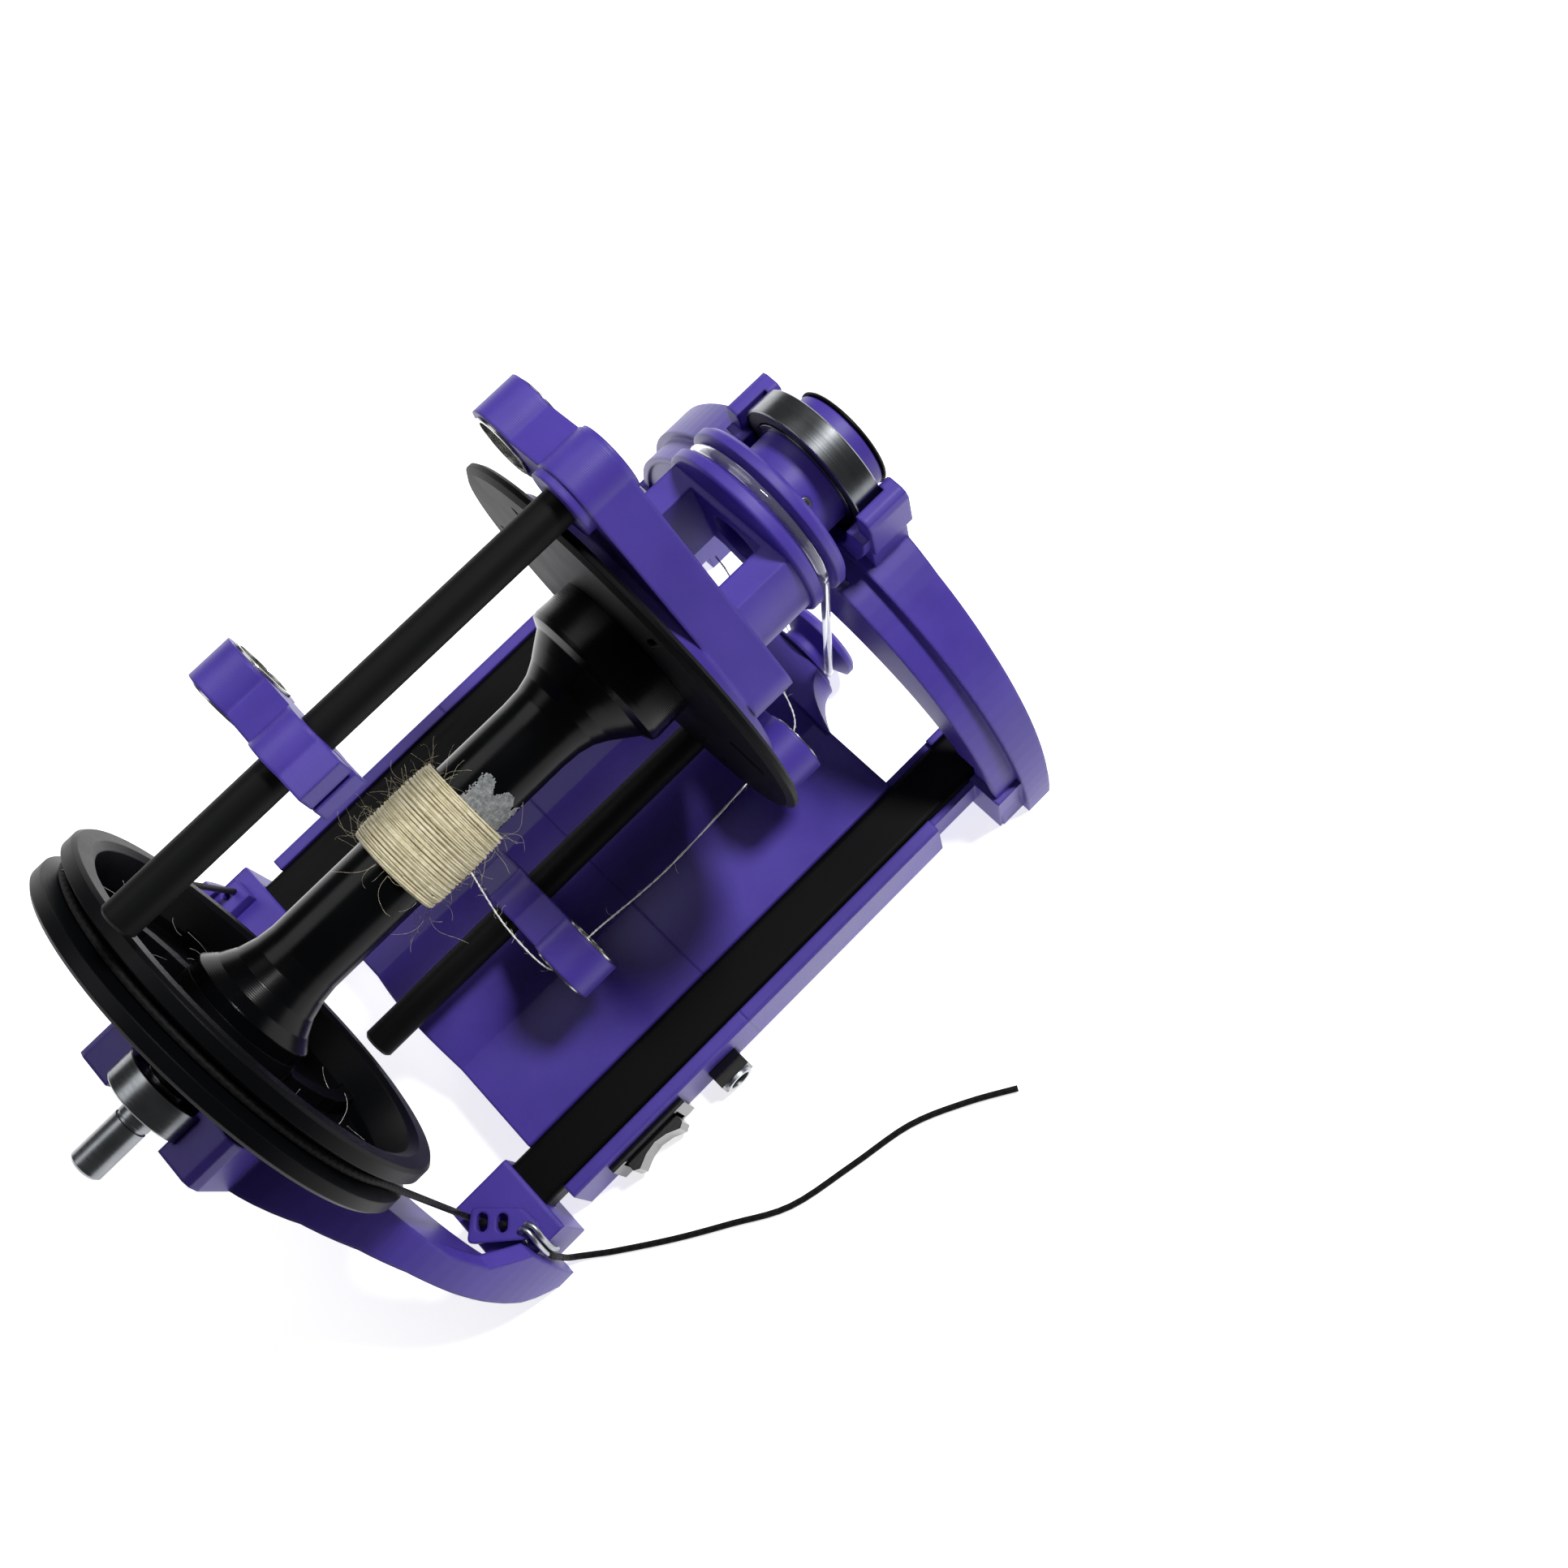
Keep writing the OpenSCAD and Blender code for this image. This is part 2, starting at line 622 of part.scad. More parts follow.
module power_jack_ring() {
    color(steel) translate([-side_x - 6, jack_y, jack_z]) rotate([0, 90, 0]) difference() {
        cylinder(r = 3.8, h = 1, $fn = small_fn);
        translate([0, 0, -1]) cylinder(r = 2.8, h = 3, $fn = small_fn);
    }
}
bezel_t = 1.8;
module switch_bezel() {
    color(black) difference() {
        union() {
            translate([-side_x - bezel_t, switch_y - 12, 1.2]) cube([bezel_t, 24, 13]);
            translate([-side_x - eps, switch_y - 10.5, 2]) cube([15, 21, 5.2]);
        }
        translate([-side_x - bezel_t - 1, switch_y - 9, 2.9]) cube([bezel_t + 4.8, 18, 3.4]);
        translate([-side_x - bezel_t - 1, switch_y - 9, 2.9]) cube([bezel_t + 0.8, 18, 9.6]);
        rocker_pivot(pin_r + fit, 2.1, 13.3);
    }
}
pin_r = 0.6;
pivot_in = 0.9;
module rocker_pivot(r, z0, z1) {
    translate([-side_x - bezel_t + pivot_in, switch_y, z0]) cylinder(r = r, h = z1 - z0, $fn = small_fn);
}
// rocker turned on a pin that stands along Z
module switch_rocker() {
    color(black) translate([-side_x - bezel_t, switch_y, 0]) {
        translate([0, 0, 3.2]) linear_extrude(height = 9)
            polygon([[bezel_t - 2.2, -8.3], [bezel_t - 0.4, 0], [bezel_t - 2.2, 8.3], [-2.6, 8.3],
                [-3.4, 6.8], [-1.9, 3.4], [-1.3, 0], [-1.9, -3.4], [-3.4, -6.8], [-2.6, -8.3]]);
    }
    color(black) rocker_pivot(pin_r, 2.3, 13.1);
}

// ---------- bearings ----------

seal_deep = 1;
// outer ring, stepped at both faces to the radius rs that the seal fills
module bearing_outer(ro, rs, rt, rc, rb, y0, w) {
    y_turn() difference() {
        polygon([[rt, y0 + seal_deep], [rs, y0 + seal_deep], [rs, y0], [ro - 0.3, y0],
            [ro, y0 + 0.3], [ro, y0 + w - 0.3], [ro - 0.3, y0 + w], [rs, y0 + w],
            [rs, y0 + w - seal_deep], [rt, y0 + w - seal_deep]]);
        translate([rc, y0 + w / 2]) circle(r = rb + track_gap, $fn = small_fn);
    }
}
module bearing_inner(ri, rt, rc, rb, y0, w) {
    y_turn() difference() {
        polygon([[ri, y0], [rt, y0], [rt, y0 + w], [ri, y0 + w]]);
        translate([rc, y0 + w / 2]) circle(r = rb + track_gap, $fn = small_fn);
    }
}
track_gap = 0.03;
fb_ball_r = 1.75;
rb_ball_r = 1.95;
module bearing_balls(rc, rb, n, y) {
    for (i = [0:n - 1]) rotate([0, i * 360 / n, 0]) translate([rc, y, 0]) sphere(r = rb, $fn = small_fn);
}
fb_rc = (fb_outer_r + tube_d / 2) / 2;
rb_rc = (rb_outer_r + rb_inner_r) / 2;
fb_seal_r = fb_outer_r - 0.7;
rb_seal_r = rb_outer_r - 1.2;
module front_bearing_outer() {
    color(steel) on_axis()
        bearing_outer(fb_outer_r, fb_seal_r, fb_rc + 1.1, fb_rc, fb_ball_r, fb_y0, fb_w);
}
module front_bearing_inner() {
    color(steel) on_axis() bearing_inner(tube_d / 2, fb_rc - 1.1, fb_rc, fb_ball_r, fb_y0, fb_w);
}
module front_bearing_balls() {
    color(steel) on_axis() bearing_balls(fb_rc, fb_ball_r, 20, fb_y0 + fb_w / 2);
}
module front_bearing_seal() {
    color(black) on_axis() for (y = [fb_y0 + 0.3, fb_y0 + fb_w - 0.9])
        y_ring(fb_seal_r, fb_rc - 1.1 + 0.35, y, y + 0.6);
}
module rear_bearing_outer() {
    color(steel) on_axis()
        bearing_outer(rb_outer_r, rb_seal_r, rb_rc + 1.35, rb_rc, rb_ball_r, rb_y0, rb_w);
}
module rear_bearing_inner() {
    color(steel) on_axis() bearing_inner(rb_inner_r, rb_rc - 1.35, rb_rc, rb_ball_r, rb_y0, rb_w);
}
module rear_bearing_balls() {
    color(steel) on_axis() bearing_balls(rb_rc, rb_ball_r, 7, rb_y0 + rb_w / 2);
}
module rear_bearing_seal() {
    color(steel) on_axis() for (y = [rb_y0 + 0.3, rb_y0 + rb_w - 0.9])
        y_ring(rb_seal_r, rb_rc - 1.35 + 0.35, y, y + 0.6);
}

// ---------- flyer ----------

module ring_shape() {
    translate(ring_c) circle(r = ring_r, $fn = round_fn);
}
// arm from a rod to its yarn ring, as a strip between two polar points
module ring_arm(w) {
    a = polar(rod_r, 0);
    u = unit(ring_c - a);
    n = [-u[1], u[0]] * w / 2;
    polygon([a + n, ring_c + n, ring_c - n, a - n]);
}
module bar_half() {
    translate([0, rod_r]) circle(r = boss_r, $fn = round_fn);
    polygon(concat([[-boss_r + 0.6, rod_r + 2.4]],
        corner_arc([-boss_r, rod_r], [-37.5, 10], [-35, -4], 7, 8),
        [[-24, -14], [0, 0], [17, 15], [4, 30], [6.4, rod_r - 5]]));
    ring_arm(11);
    ring_shape();
}
module eyelet_holes(y0, y1, r) {
    translate([ring_c[0], 0, ring_c[1]]) y_rod(r, y0, y1);
}
module flyer_head() {
    color(violet) in_flyer() difference() {
        union() {
            y_turn() polygon([[orifice_d / 2 + 1, tube_front_y], [tube_d / 2 - 0.6, tube_front_y],
                [tube_d / 2, tube_front_y + 0.6], [tube_d / 2, whorl_front_y],
                [whorl_r - 1, whorl_front_y], [whorl_r, whorl_front_y + 1],
                [whorl_r, belt_y - 2.2], [whorl_groove_r, belt_y - 0.9], [whorl_groove_r, belt_y + 0.9],
                [whorl_r, belt_y + 2.4], [whorl_r, neck_front_y - 0.6],
                [whorl_r - 0.6, neck_front_y], [orifice_d / 2 + 1, neck_front_y]]);
            // neck with flat-topped posts either side of the yarn window
            intersection() {
                y_rod(neck_r, neck_front_y - 1, bar_front_y + 1);
                translate([-30, neck_front_y - 1, -11]) cube([60, 30, 22]);
            }
            xz_prism(bar_front_y, bar_rear_y) {
                bar_half();
                rotate(180) bar_half();
                circle(r = 24, $fn = round_fn);
            }
            y_rod(hub_r, bar_rear_y - eps, hub_rear_y);
            for (a = [0, 180]) rotate([0, a, 0]) translate([0, 0, rod_r])
                y_rod(boss_r - 0.4, bar_front_y - 0.8, boss_rear_y);
        }
        // orifice, yarn window and shaft bore
        y_rod(orifice_d / 2 + 1, tube_front_y - 1, neck_front_y + 2.5);
        translate([-11, neck_front_y + 1.6, -30]) cube([22, bar_front_y - neck_front_y - 2.6, 60]);
        y_rod(shaft_d / 2, shaft_start_y, hub_rear_y + 1);
        for (a = [0, 180]) rotate([0, a, 0]) {
            translate([0, 0, rod_r]) y_rod(rod_d / 2, bar_front_y + 1.5, 0);
            eyelet_holes(bar_front_y - 1, boss_rear_y + 2, eyelet_r + 0.5);
        }
        rotate([0, -grub_angle, 0]) translate([0, grub_y, orifice_d / 2 - 1])
            cylinder(r = 1.5, h = 20, $fn = small_fn);
    }
}
grub_y = -92.8;
grub_angle = 50;
module orifice_liner() {
    color(black) in_flyer() y_turn() polygon([[orifice_d / 2, tube_front_y - 0.8],
        [tube_d / 2, tube_front_y - 0.8], [tube_d / 2 + 0.4, tube_front_y - 0.4],
        [tube_d / 2 + 0.4, tube_front_y],
        [orifice_d / 2 + 1, tube_front_y], [orifice_d / 2 + 1, neck_front_y - 2],
        [orifice_d / 2, neck_front_y - 2]]);
}
module whorl_grub_screw() {
    color(steel) in_flyer() rotate([0, -grub_angle, 0]) translate([0, grub_y, orifice_d / 2 + 1.2])
        difference() {
            cylinder(r = 1.5, h = 5.6, $fn = small_fn);
            translate([0, 0, 4.2]) cylinder(r = 0.8, h = 3, $fn = small_fn);
        }
}
module flyer_rod(a) {
    color(black) in_flyer() rotate([0, a, 0]) translate([0, 0, rod_r])
        y_turn(small_fn * 2) polygon([[0, bar_front_y + 1.5], [rod_d / 2, bar_front_y + 1.5],
            [rod_d / 2, rod_end_y - 0.7], [rod_d / 2 - 0.7, rod_end_y], [0, rod_end_y]]);
}
module flyer_rod_upper() {
    flyer_rod(0);
}
module flyer_rod_lower() {
    flyer_rod(180);
}
// metal eyelet lining a yarn ring, with a thin lip at each face
module eyelet(y0, y1) {
    translate([ring_c[0], 0, ring_c[1]]) y_turn() polygon([[eyelet_r, y0 - 0.5],
        [eyelet_r + 1.1, y0 - 0.5], [eyelet_r + 1.1, y0], [eyelet_r + 0.5, y0], [eyelet_r + 0.5, y1],
        [eyelet_r + 1.1, y1], [eyelet_r + 1.1, y1 + 0.5], [eyelet_r, y1 + 0.5]]);
}
module fixed_eyelet_upper() {
    color(steel) in_flyer() eyelet(bar_front_y, bar_rear_y);
}
module fixed_eyelet_lower() {
    color(steel) in_flyer() half_turned() eyelet(bar_front_y, bar_rear_y);
}
module flyer_shaft() {
    color(steel) on_axis() y_turn() polygon([[0, shaft_start_y], [shaft_d / 2, shaft_start_y],
        [shaft_d / 2, clip_groove_y], [shaft_d / 2 - 0.4, clip_groove_y],
        [shaft_d / 2 - 0.4, clip_groove_y + 0.8], [shaft_d / 2, clip_groove_y + 0.8],
        [shaft_d / 2, shaft_end_y - 0.6], [shaft_d / 2 - 0.6, shaft_end_y], [0, shaft_end_y]]);
}
module shaft_spacer() {
    color(black) on_axis() y_ring(5.6, shaft_d / 2, boss_end_y + gap, rb_y0, small_fn);
}

// ---------- bobbin ----------

module bobbin_front_flange() {
    color(black) on_axis() difference() {
        y_turn() polygon([[core_r + 6.5, flange_y], [bobbin_r - 1.2, flange_y],
            [bobbin_r, flange_y + 0.8], [bobbin_r, flange_y + 1.8], [bobbin_r - 1.6, flange_y + flange_t],
            [core_r + 6.5, flange_y + flange_t]]);
        // curved yarn slots near the rim
        for (a = [0:60:300]) rotate([0, a, 0]) {
            translate([slot_in_r, flange_y - 1, -1]) cube([slot_len, 6, 2]);
            for (x = [slot_in_r, slot_in_r + slot_len]) translate([x, 0, 0])
                y_rod(1, flange_y - 1, flange_y + 6, small_fn);
        }
    }
}
module bobbin_core() {
    color(black) on_axis() y_turn() polygon([[6, flange_y], [core_r + 6.5, flange_y],
        [core_r + 6.5, flange_y + flange_t], [core_r + 9.2, flange_y + flange_t],
        [core_r + 9.6, flange_y + 12], [core_r + 9.2, flange_y + 13.2], [core_r + 8, flange_y + 13.8],
        [core_r + 6.8, flange_y + 14.4], [core_r + 5, flange_y + 17], [core_r + 2.8, flange_y + 20],
        [core_r + 1.2, flange_y + 23], [core_r + 0.3, flange_y + 26.5], [core_r, flange_y + 31],
        [core_r, rim_front_y - 12],
        [core_r + 0.5, rim_front_y - 8], [core_r + 1.7, rim_front_y - 4], [core_r + 3.6, rim_front_y - 0.6],
        [core_r + 6, rim_front_y + 2], [core_r + 6, rim_front_y + 5], [6, rim_front_y + 5]]);
}
spoke_n = 5;
// one curved spoke as a strip between two arcs that start on the hub
module spoke_2d(w = 5) {
    for (i = [0:5]) let (r0 = spoke_start_r + i * spoke_step, r1 = r0 + spoke_step, a0 = i * 7, a1 = (i + 1) * 7)
        polygon([r0 * [cos(a0), sin(a0)] + w / 2 * [-sin(a0), cos(a0)],
            r0 * [cos(a0), sin(a0)] - w / 2 * [-sin(a0), cos(a0)],
            (r1 + 0.4) * [cos(a1), sin(a1)] - w / 2 * [-sin(a1), cos(a1)],
            (r1 + 0.4) * [cos(a1), sin(a1)] + w / 2 * [-sin(a1), cos(a1)]]);
}
module bobbin_whorl() {
    color(black) on_axis() {
        y_turn() polygon([[rim_in_r, rim_front_y + 1], [rim_in_r + 2, rim_front_y],
            [bobbin_r - 0.8, rim_front_y],
            [bobbin_r, rim_front_y + 0.8], [bobbin_r, groove_y - 2.6], [groove_r, groove_y - 0.9],
            [groove_r, groove_y + 0.9], [bobbin_r, groove_y + 2.6], [bobbin_r, rim_rear_y - 0.8],
            [bobbin_r - 0.8, rim_rear_y], [rim_in_r - 2, rim_rear_y],
            [rim_in_r - 2, rim_rear_y - 4]]);
        y_turn() polygon([[6, rim_front_y + 5], [core_r + 6, rim_front_y + 5],
            [core_r + 6, rim_rear_y], [14, rim_rear_y], [14, boss_end_y], [6, boss_end_y]]);
        // thin disc that the curved ribs stand on
        y_ring(rim_in_r, 14 - eps, rim_rear_y - 1.4, rim_rear_y);
        xz_prism(rim_rear_y - 5, rim_rear_y) difference() {
            for (k = [0:spoke_n - 1]) rotate(k * 360 / spoke_n) spoke_2d();
            circle(r = 14, $fn = round_fn);
        }
    }
}
module bobbin_bushes() {
    color(brass) on_axis() {
        y_ring(6, shaft_d / 2 + fit, flange_y, flange_y + 10);
        y_ring(6, shaft_d / 2 + fit, boss_end_y - 14, boss_end_y);
    }
}
module wound_yarn() {
    color(cream) on_axis() difference() {
        y_turn() polygon([[core_r, yarn_rear_y - yarn_len], [yarn_r - 0.8, yarn_rear_y - yarn_len],
            [yarn_r, yarn_rear_y - yarn_len + 1.2], [yarn_r, yarn_rear_y - 1.2],
            [yarn_r - 0.8, yarn_rear_y], [core_r, yarn_rear_y]]);
    }
}
// paper leader left under the first turns of yarn
module yarn_leader() {
    color([0.55, 0.56, 0.58]) on_axis() intersection() {
        y_ring(core_r + 0.6, core_r, yarn_rear_y - yarn_len - 8, yarn_rear_y - yarn_len);
        rotate([0, -100, 0]) translate([0, -60, 0]) cube([40, 100, 40]);
    }
}

// ---------- sliding guides ----------

clamp_r = rod_d / 2 + 3.2;
jaw_w = 11;
slit_w = 1.4;
module guide_at(y) {
    y0 = y - guide_len / 2;
    y1 = y + guide_len / 2;
    difference() {
        union() {
            translate([0, 0, rod_r]) y_rod(clamp_r, y0, y1);
            translate([-clamp_r - 4, y0, rod_r - jaw_w / 2]) cube([clamp_r + 4, guide_len, jaw_w]);
            xz_prism(y0, y1) ring_arm(9);
            translate([ring_c[0], 0, ring_c[1]]) y_rod(ring_r, y0, y1);
        }
        translate([0, 0, rod_r]) y_rod(rod_d / 2 + fit, y0 - 1, y1 + 1);
        // slit that lets the clamp grip the rod
        translate([-clamp_r - 5, y0 - 1, rod_r - slit_w / 2]) cube([clamp_r + 5, guide_len + 2, slit_w]);
        eyelet_holes(y0 - 1, y1 + 1, eyelet_r + 0.5);
    }
}
module guide_upper() {
    color(violet) in_flyer() guide_at(guide_1_y);
}
module guide_upper_eyelet() {
    color(steel) in_flyer() eyelet(guide_1_y - guide_len / 2, guide_1_y + guide_len / 2);
}
module guide_lower() {
    color(violet) in_flyer() half_turned() guide_at(guide_2_y);
}
module guide_lower_eyelet() {
    color(steel) in_flyer() half_turned() eyelet(guide_2_y - guide_len / 2, guide_2_y + guide_len / 2);
}

// ---------- yarn and brake ----------

// places in the stand frame of a point given in the flyer's own frame
function from_flyer(p) = [p[0] * cos(flyer_turn) + p[2] * sin(flyer_turn), p[1],
    axis_h - p[0] * sin(flyer_turn) + p[2] * cos(flyer_turn)];
ring_low = from_flyer([-ring_c[0], 0, -ring_c[1]]);
yarn_route = [
    [-yarn_r - 0.4, guide_2_y + 1, axis_h - 2],
    [(ring_low[0] - yarn_r) / 2, guide_2_y + guide_len / 2, (ring_low[2] + axis_h) / 2 + 2],
    [ring_low[0] + 1, guide_2_y + guide_len / 2 + 1, ring_low[2] + 4],
    [ring_low[0], guide_2_y, ring_low[2] + 3],
    [ring_low[0], guide_2_y - guide_len / 2 - 3, ring_low[2] + 3.5],
    [ring_low[0] - 1, guide_2_y - 30, ring_low[2] + 2],
    [ring_low[0], bar_rear_y + 3, ring_low[2] + 3],
    [ring_low[0], (bar_rear_y + bar_front_y) / 2, ring_low[2] + 3.6],
    [ring_low[0] + 2, bar_front_y - 3, ring_low[2] + 8],
    [-6, neck_front_y + 10, axis_h - 24],
    [-1.5, neck_front_y + 7, axis_h - 9],
    [-1, neck_front_y + 8, axis_h + 4]];
module yarn_strand() {
    color(cream) tube(spline(yarn_route, 4), 0.8, 6);
}

brake_arc_r = groove_r + brake_d / 2 + 0.12;
clip_x = -46.4;
clip_y = 72.6;
clip_z = 21.2;
anchor_x = 59;
anchor_z = 24;
// tangent point on the groove, seen from an outside point in X and Z
function tangent_a(px, pz, side) = let (d = norm([px, pz - axis_h]), b = atan2(pz - axis_h, px))
    b + side * acos(brake_arc_r / d);
left_a = tangent_a(clip_x, clip_z, -1) + 360;
right_a = tangent_a(anchor_x, anchor_z, 1);
function groove_pt(a) = [brake_arc_r * cos(a), groove_y, axis_h + brake_arc_r * sin(a)];
// free end: down beside the block, then along the table
tail_z = brake_d / 2;
tail_route = [[-66.4, 64.8, 10], [-66.9, 64.4, 5], [-68.2, 62.4, 1.9], [-70.4, 59.4, tail_z],
    [-73.5, 55.2, tail_z], [-81.6, 43, tail_z], [-89, 30.4, tail_z], [-96.4, 17, tail_z],
    [-100.2, -0.6, tail_z], [-103.4, -17.4, tail_z], [-109.4, -31, tail_z], [-116, -42.4, tail_z]];
// from the anchor over the bobbin groove, under the tensioner plate and through the wire loop
brake_route = concat(
    [[anchor_x, 63, anchor_z - 3]],
    [[(anchor_x + groove_pt(right_a)[0]) / 2, 65.5, (anchor_z + groove_pt(right_a)[2]) / 2]],
    [for (i = [0:48]) groove_pt(right_a + (left_a - right_a) * i / 48)],
    [[(clip_x * 2 + groove_pt(left_a)[0]) / 3, (groove_y + clip_y * 2) / 3,
        (clip_z * 2 + groove_pt(left_a)[2]) / 3]],
    spline([[clip_x, clip_y, clip_z], [-48.6, 71.6, 21.4], [-50.6, 70.2, 22.6], [-52.4, 68.8, 21.6],
        [-54.2, 67.2, 22.6], [-56.4, 65.6, 21], [-60, 64.6, 20.6], [-64, 64.6, 19.8],
        [-66.2, 64.8, 16], tail_route[0]], 3));
module brake_cord() {
    color(black) tube(brake_route, brake_d, 8);
}
// free end of the brake cord: down beside the block to the table and out past the switch
module brake_tail() {
    color(black) tube(spline(tail_route, 5), brake_d, 8, false, [0, 0.2, 1]);
}
plate_z = rear_block_h + 2.4;
plate_t = 2.4;
module oval(p, a) {
    translate([p[0], p[1], 0]) rotate([0, 0, a]) {
        translate([-1.35, -0.9, 0]) cube([2.7, 1.8, 40]);
        for (e = [-0.9, 0.9]) translate([0, e, 0]) cylinder(r = 1.35, h = 40, $fn = small_fn);
    }
}
module brake_tensioner() {
    color(violet) difference() {
        translate([0, 0, plate_z]) linear_extrude(height = plate_t)
            polygon(rounded([[-46, 70], [-54.6, 61.4], [-60, 61], [-61.6, 63], [-60.4, 66],
                [-51.6, 76.4]], 1.2, 4));
        oval([-50.4, 70.4], 45);
        oval([-54, 67], 45);
    }
    // post that rests on the block
    color(violet) translate([-49, 73, rear_block_h]) cylinder(r = 1.2, h = 2.4 + eps, $fn = small_fn);
}
// wire loop that hooks the plate's end over the outer edge of the block
hook_out = rear_block_out + 1.5;
hook_route = [[-60.6, 66.4, plate_z - 1.2], [-58.6, 64.6, plate_z + plate_t + 0.8],
    [-60.4, 63.4, plate_z + plate_t + 1.6], [2.1 - hook_out, 64, plate_z + plate_t],
    [-0.1 - hook_out, 64.9, plate_z - 3], [-hook_out, 65, plate_z - 8]];
module brake_hook() {
    color(steel) tube(spline(hook_route, 5), hook_d, 10);
}
module brake_anchor() {
    color(violet) translate([anchor_x - 4.2, 61, rear_block_h]) difference() {
        cube([6.2, 9, 4.6]);
        translate([4.2, 4.5, -1]) cylinder(r = 1, h = 8, $fn = small_fn);
    }
}

front_maiden();
rear_maiden();
base_bar_left();
base_bar_right();
housing_front();
housing_rear();
housing_cover();
cover_screws();
motor_can();
motor_shaft();
motor_pulley();
motor_screws();
drive_belt();
speed_board();
power_jack();
power_jack_ring();
switch_bezel();
switch_rocker();
front_bearing_outer();
front_bearing_inner();
front_bearing_balls();
front_bearing_seal();
rear_bearing_outer();
rear_bearing_inner();
rear_bearing_balls();
rear_bearing_seal();
flyer_head();
orifice_liner();
whorl_grub_screw();
flyer_rod_upper();
flyer_rod_lower();
fixed_eyelet_upper();
fixed_eyelet_lower();
flyer_shaft();
shaft_spacer();
bobbin_front_flange();
bobbin_core();
bobbin_whorl();
bobbin_bushes();
wound_yarn();
yarn_leader();
yarn_strand();
guide_upper();
guide_upper_eyelet();
guide_lower();
guide_lower_eyelet();
brake_cord();
brake_tail();
brake_tensioner();
brake_hook();
brake_anchor();
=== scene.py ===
# %% [markdown]
# # An electric spinning wheel, finished in Blender
# This lesson dresses a small electric spinning wheel. Its hard parts come from CAD as a fixed
# frame, already at their true size in metres, so here they only get their finish. What CAD can't
# show well is modelled here: spun wool, fuzz, braided cord, a clear belt, bent wire and paper.
# Loading comes first.

import bpy
import bmesh
import math
import random
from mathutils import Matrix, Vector


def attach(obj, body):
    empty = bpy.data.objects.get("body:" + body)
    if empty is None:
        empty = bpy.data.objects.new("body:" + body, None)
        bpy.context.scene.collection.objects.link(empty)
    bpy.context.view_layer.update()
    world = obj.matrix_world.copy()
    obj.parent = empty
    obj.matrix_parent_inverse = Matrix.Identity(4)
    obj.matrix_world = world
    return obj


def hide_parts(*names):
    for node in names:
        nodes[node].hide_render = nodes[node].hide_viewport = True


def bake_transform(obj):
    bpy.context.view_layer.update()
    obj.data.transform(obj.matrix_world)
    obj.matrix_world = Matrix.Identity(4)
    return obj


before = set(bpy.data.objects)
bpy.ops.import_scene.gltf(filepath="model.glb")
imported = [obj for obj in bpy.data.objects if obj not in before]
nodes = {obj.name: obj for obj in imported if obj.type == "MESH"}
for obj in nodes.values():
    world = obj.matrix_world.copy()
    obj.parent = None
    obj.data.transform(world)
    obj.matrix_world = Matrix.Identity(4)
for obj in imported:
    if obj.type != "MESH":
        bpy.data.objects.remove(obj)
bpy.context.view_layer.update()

# %% [markdown]
# ## The camera
# The wheel lies on a table and is seen from above, from the side of its switch, with its orifice
# towards the upper right. A lens of about 38 mm so close gives strong perspective: what stands
# 15 cm above the table looks half as large again as the base. The place and the three turns are
# stated as plain values.

# %% camera
camera_place = (-0.1564, -0.0094, 0.4173)
camera_turns = (17.486, 8.534, -134.347)
camera_lens = 38.4
camera_data = bpy.data.cameras.new("camera")
camera_data.lens = camera_lens
camera_data.sensor_width = 36.0
camera_data.clip_start = 0.01
camera = bpy.data.objects.new("camera", camera_data)
bpy.context.scene.collection.objects.link(camera)
camera.location = camera_place
camera.rotation_euler = [math.radians(a) for a in camera_turns]
bpy.context.scene.camera = camera
print("camera at", camera_place, "lens", camera_lens)

# %% [markdown]
# ## Round things along a line
# Cord, belt, wire and yarn are all one shape: a round section carried along a line. A curve with a
# bevel would do it, but a mesh tube can carry its own UV map, with the true length along it in
# millimetres, and braid and twist need that. The line is smoothed through a few given points.

# %% smooth lines and tubes
MM = 0.001


def smooth(points, steps):
    """A smooth line through the points: steps short pieces between each two."""
    points = [Vector(p) for p in points]
    line = []
    for i in range(len(points) - 1):
        a = points[max(i - 1, 0)]
        b = points[i]
        c = points[i + 1]
        d = points[min(i + 2, len(points) - 1)]
        for k in range(steps):
            t = k / steps
            line.append(0.5 * ((2 * b) + (c - a) * t + (2 * a - 5 * b + 4 * c - d) * t * t
                               + (3 * b - a - 3 * c + d) * t * t * t))
    line.append(points[-1])
    return line


def length_of(line):
    """The length of a line, in metres."""
    return sum((b - a).length for a, b in zip(line, line[1:]))


def frames_along(line, closed):
    """A side direction at each point that turns as little as it can."""
    count = len(line)
    ahead = []
    for i in range(count):
        before = line[i - 1] if (closed or i > 0) else line[0]
        after = line[(i + 1) % count] if (closed or i < count - 1) else line[-1]
        ahead.append((after - before).normalized())
    side = ahead[0].orthogonal().normalized()
    sides = []
    for t in ahead:
        side = (side - t * side.dot(t)).normalized()
        sides.append(side)
    return ahead, sides


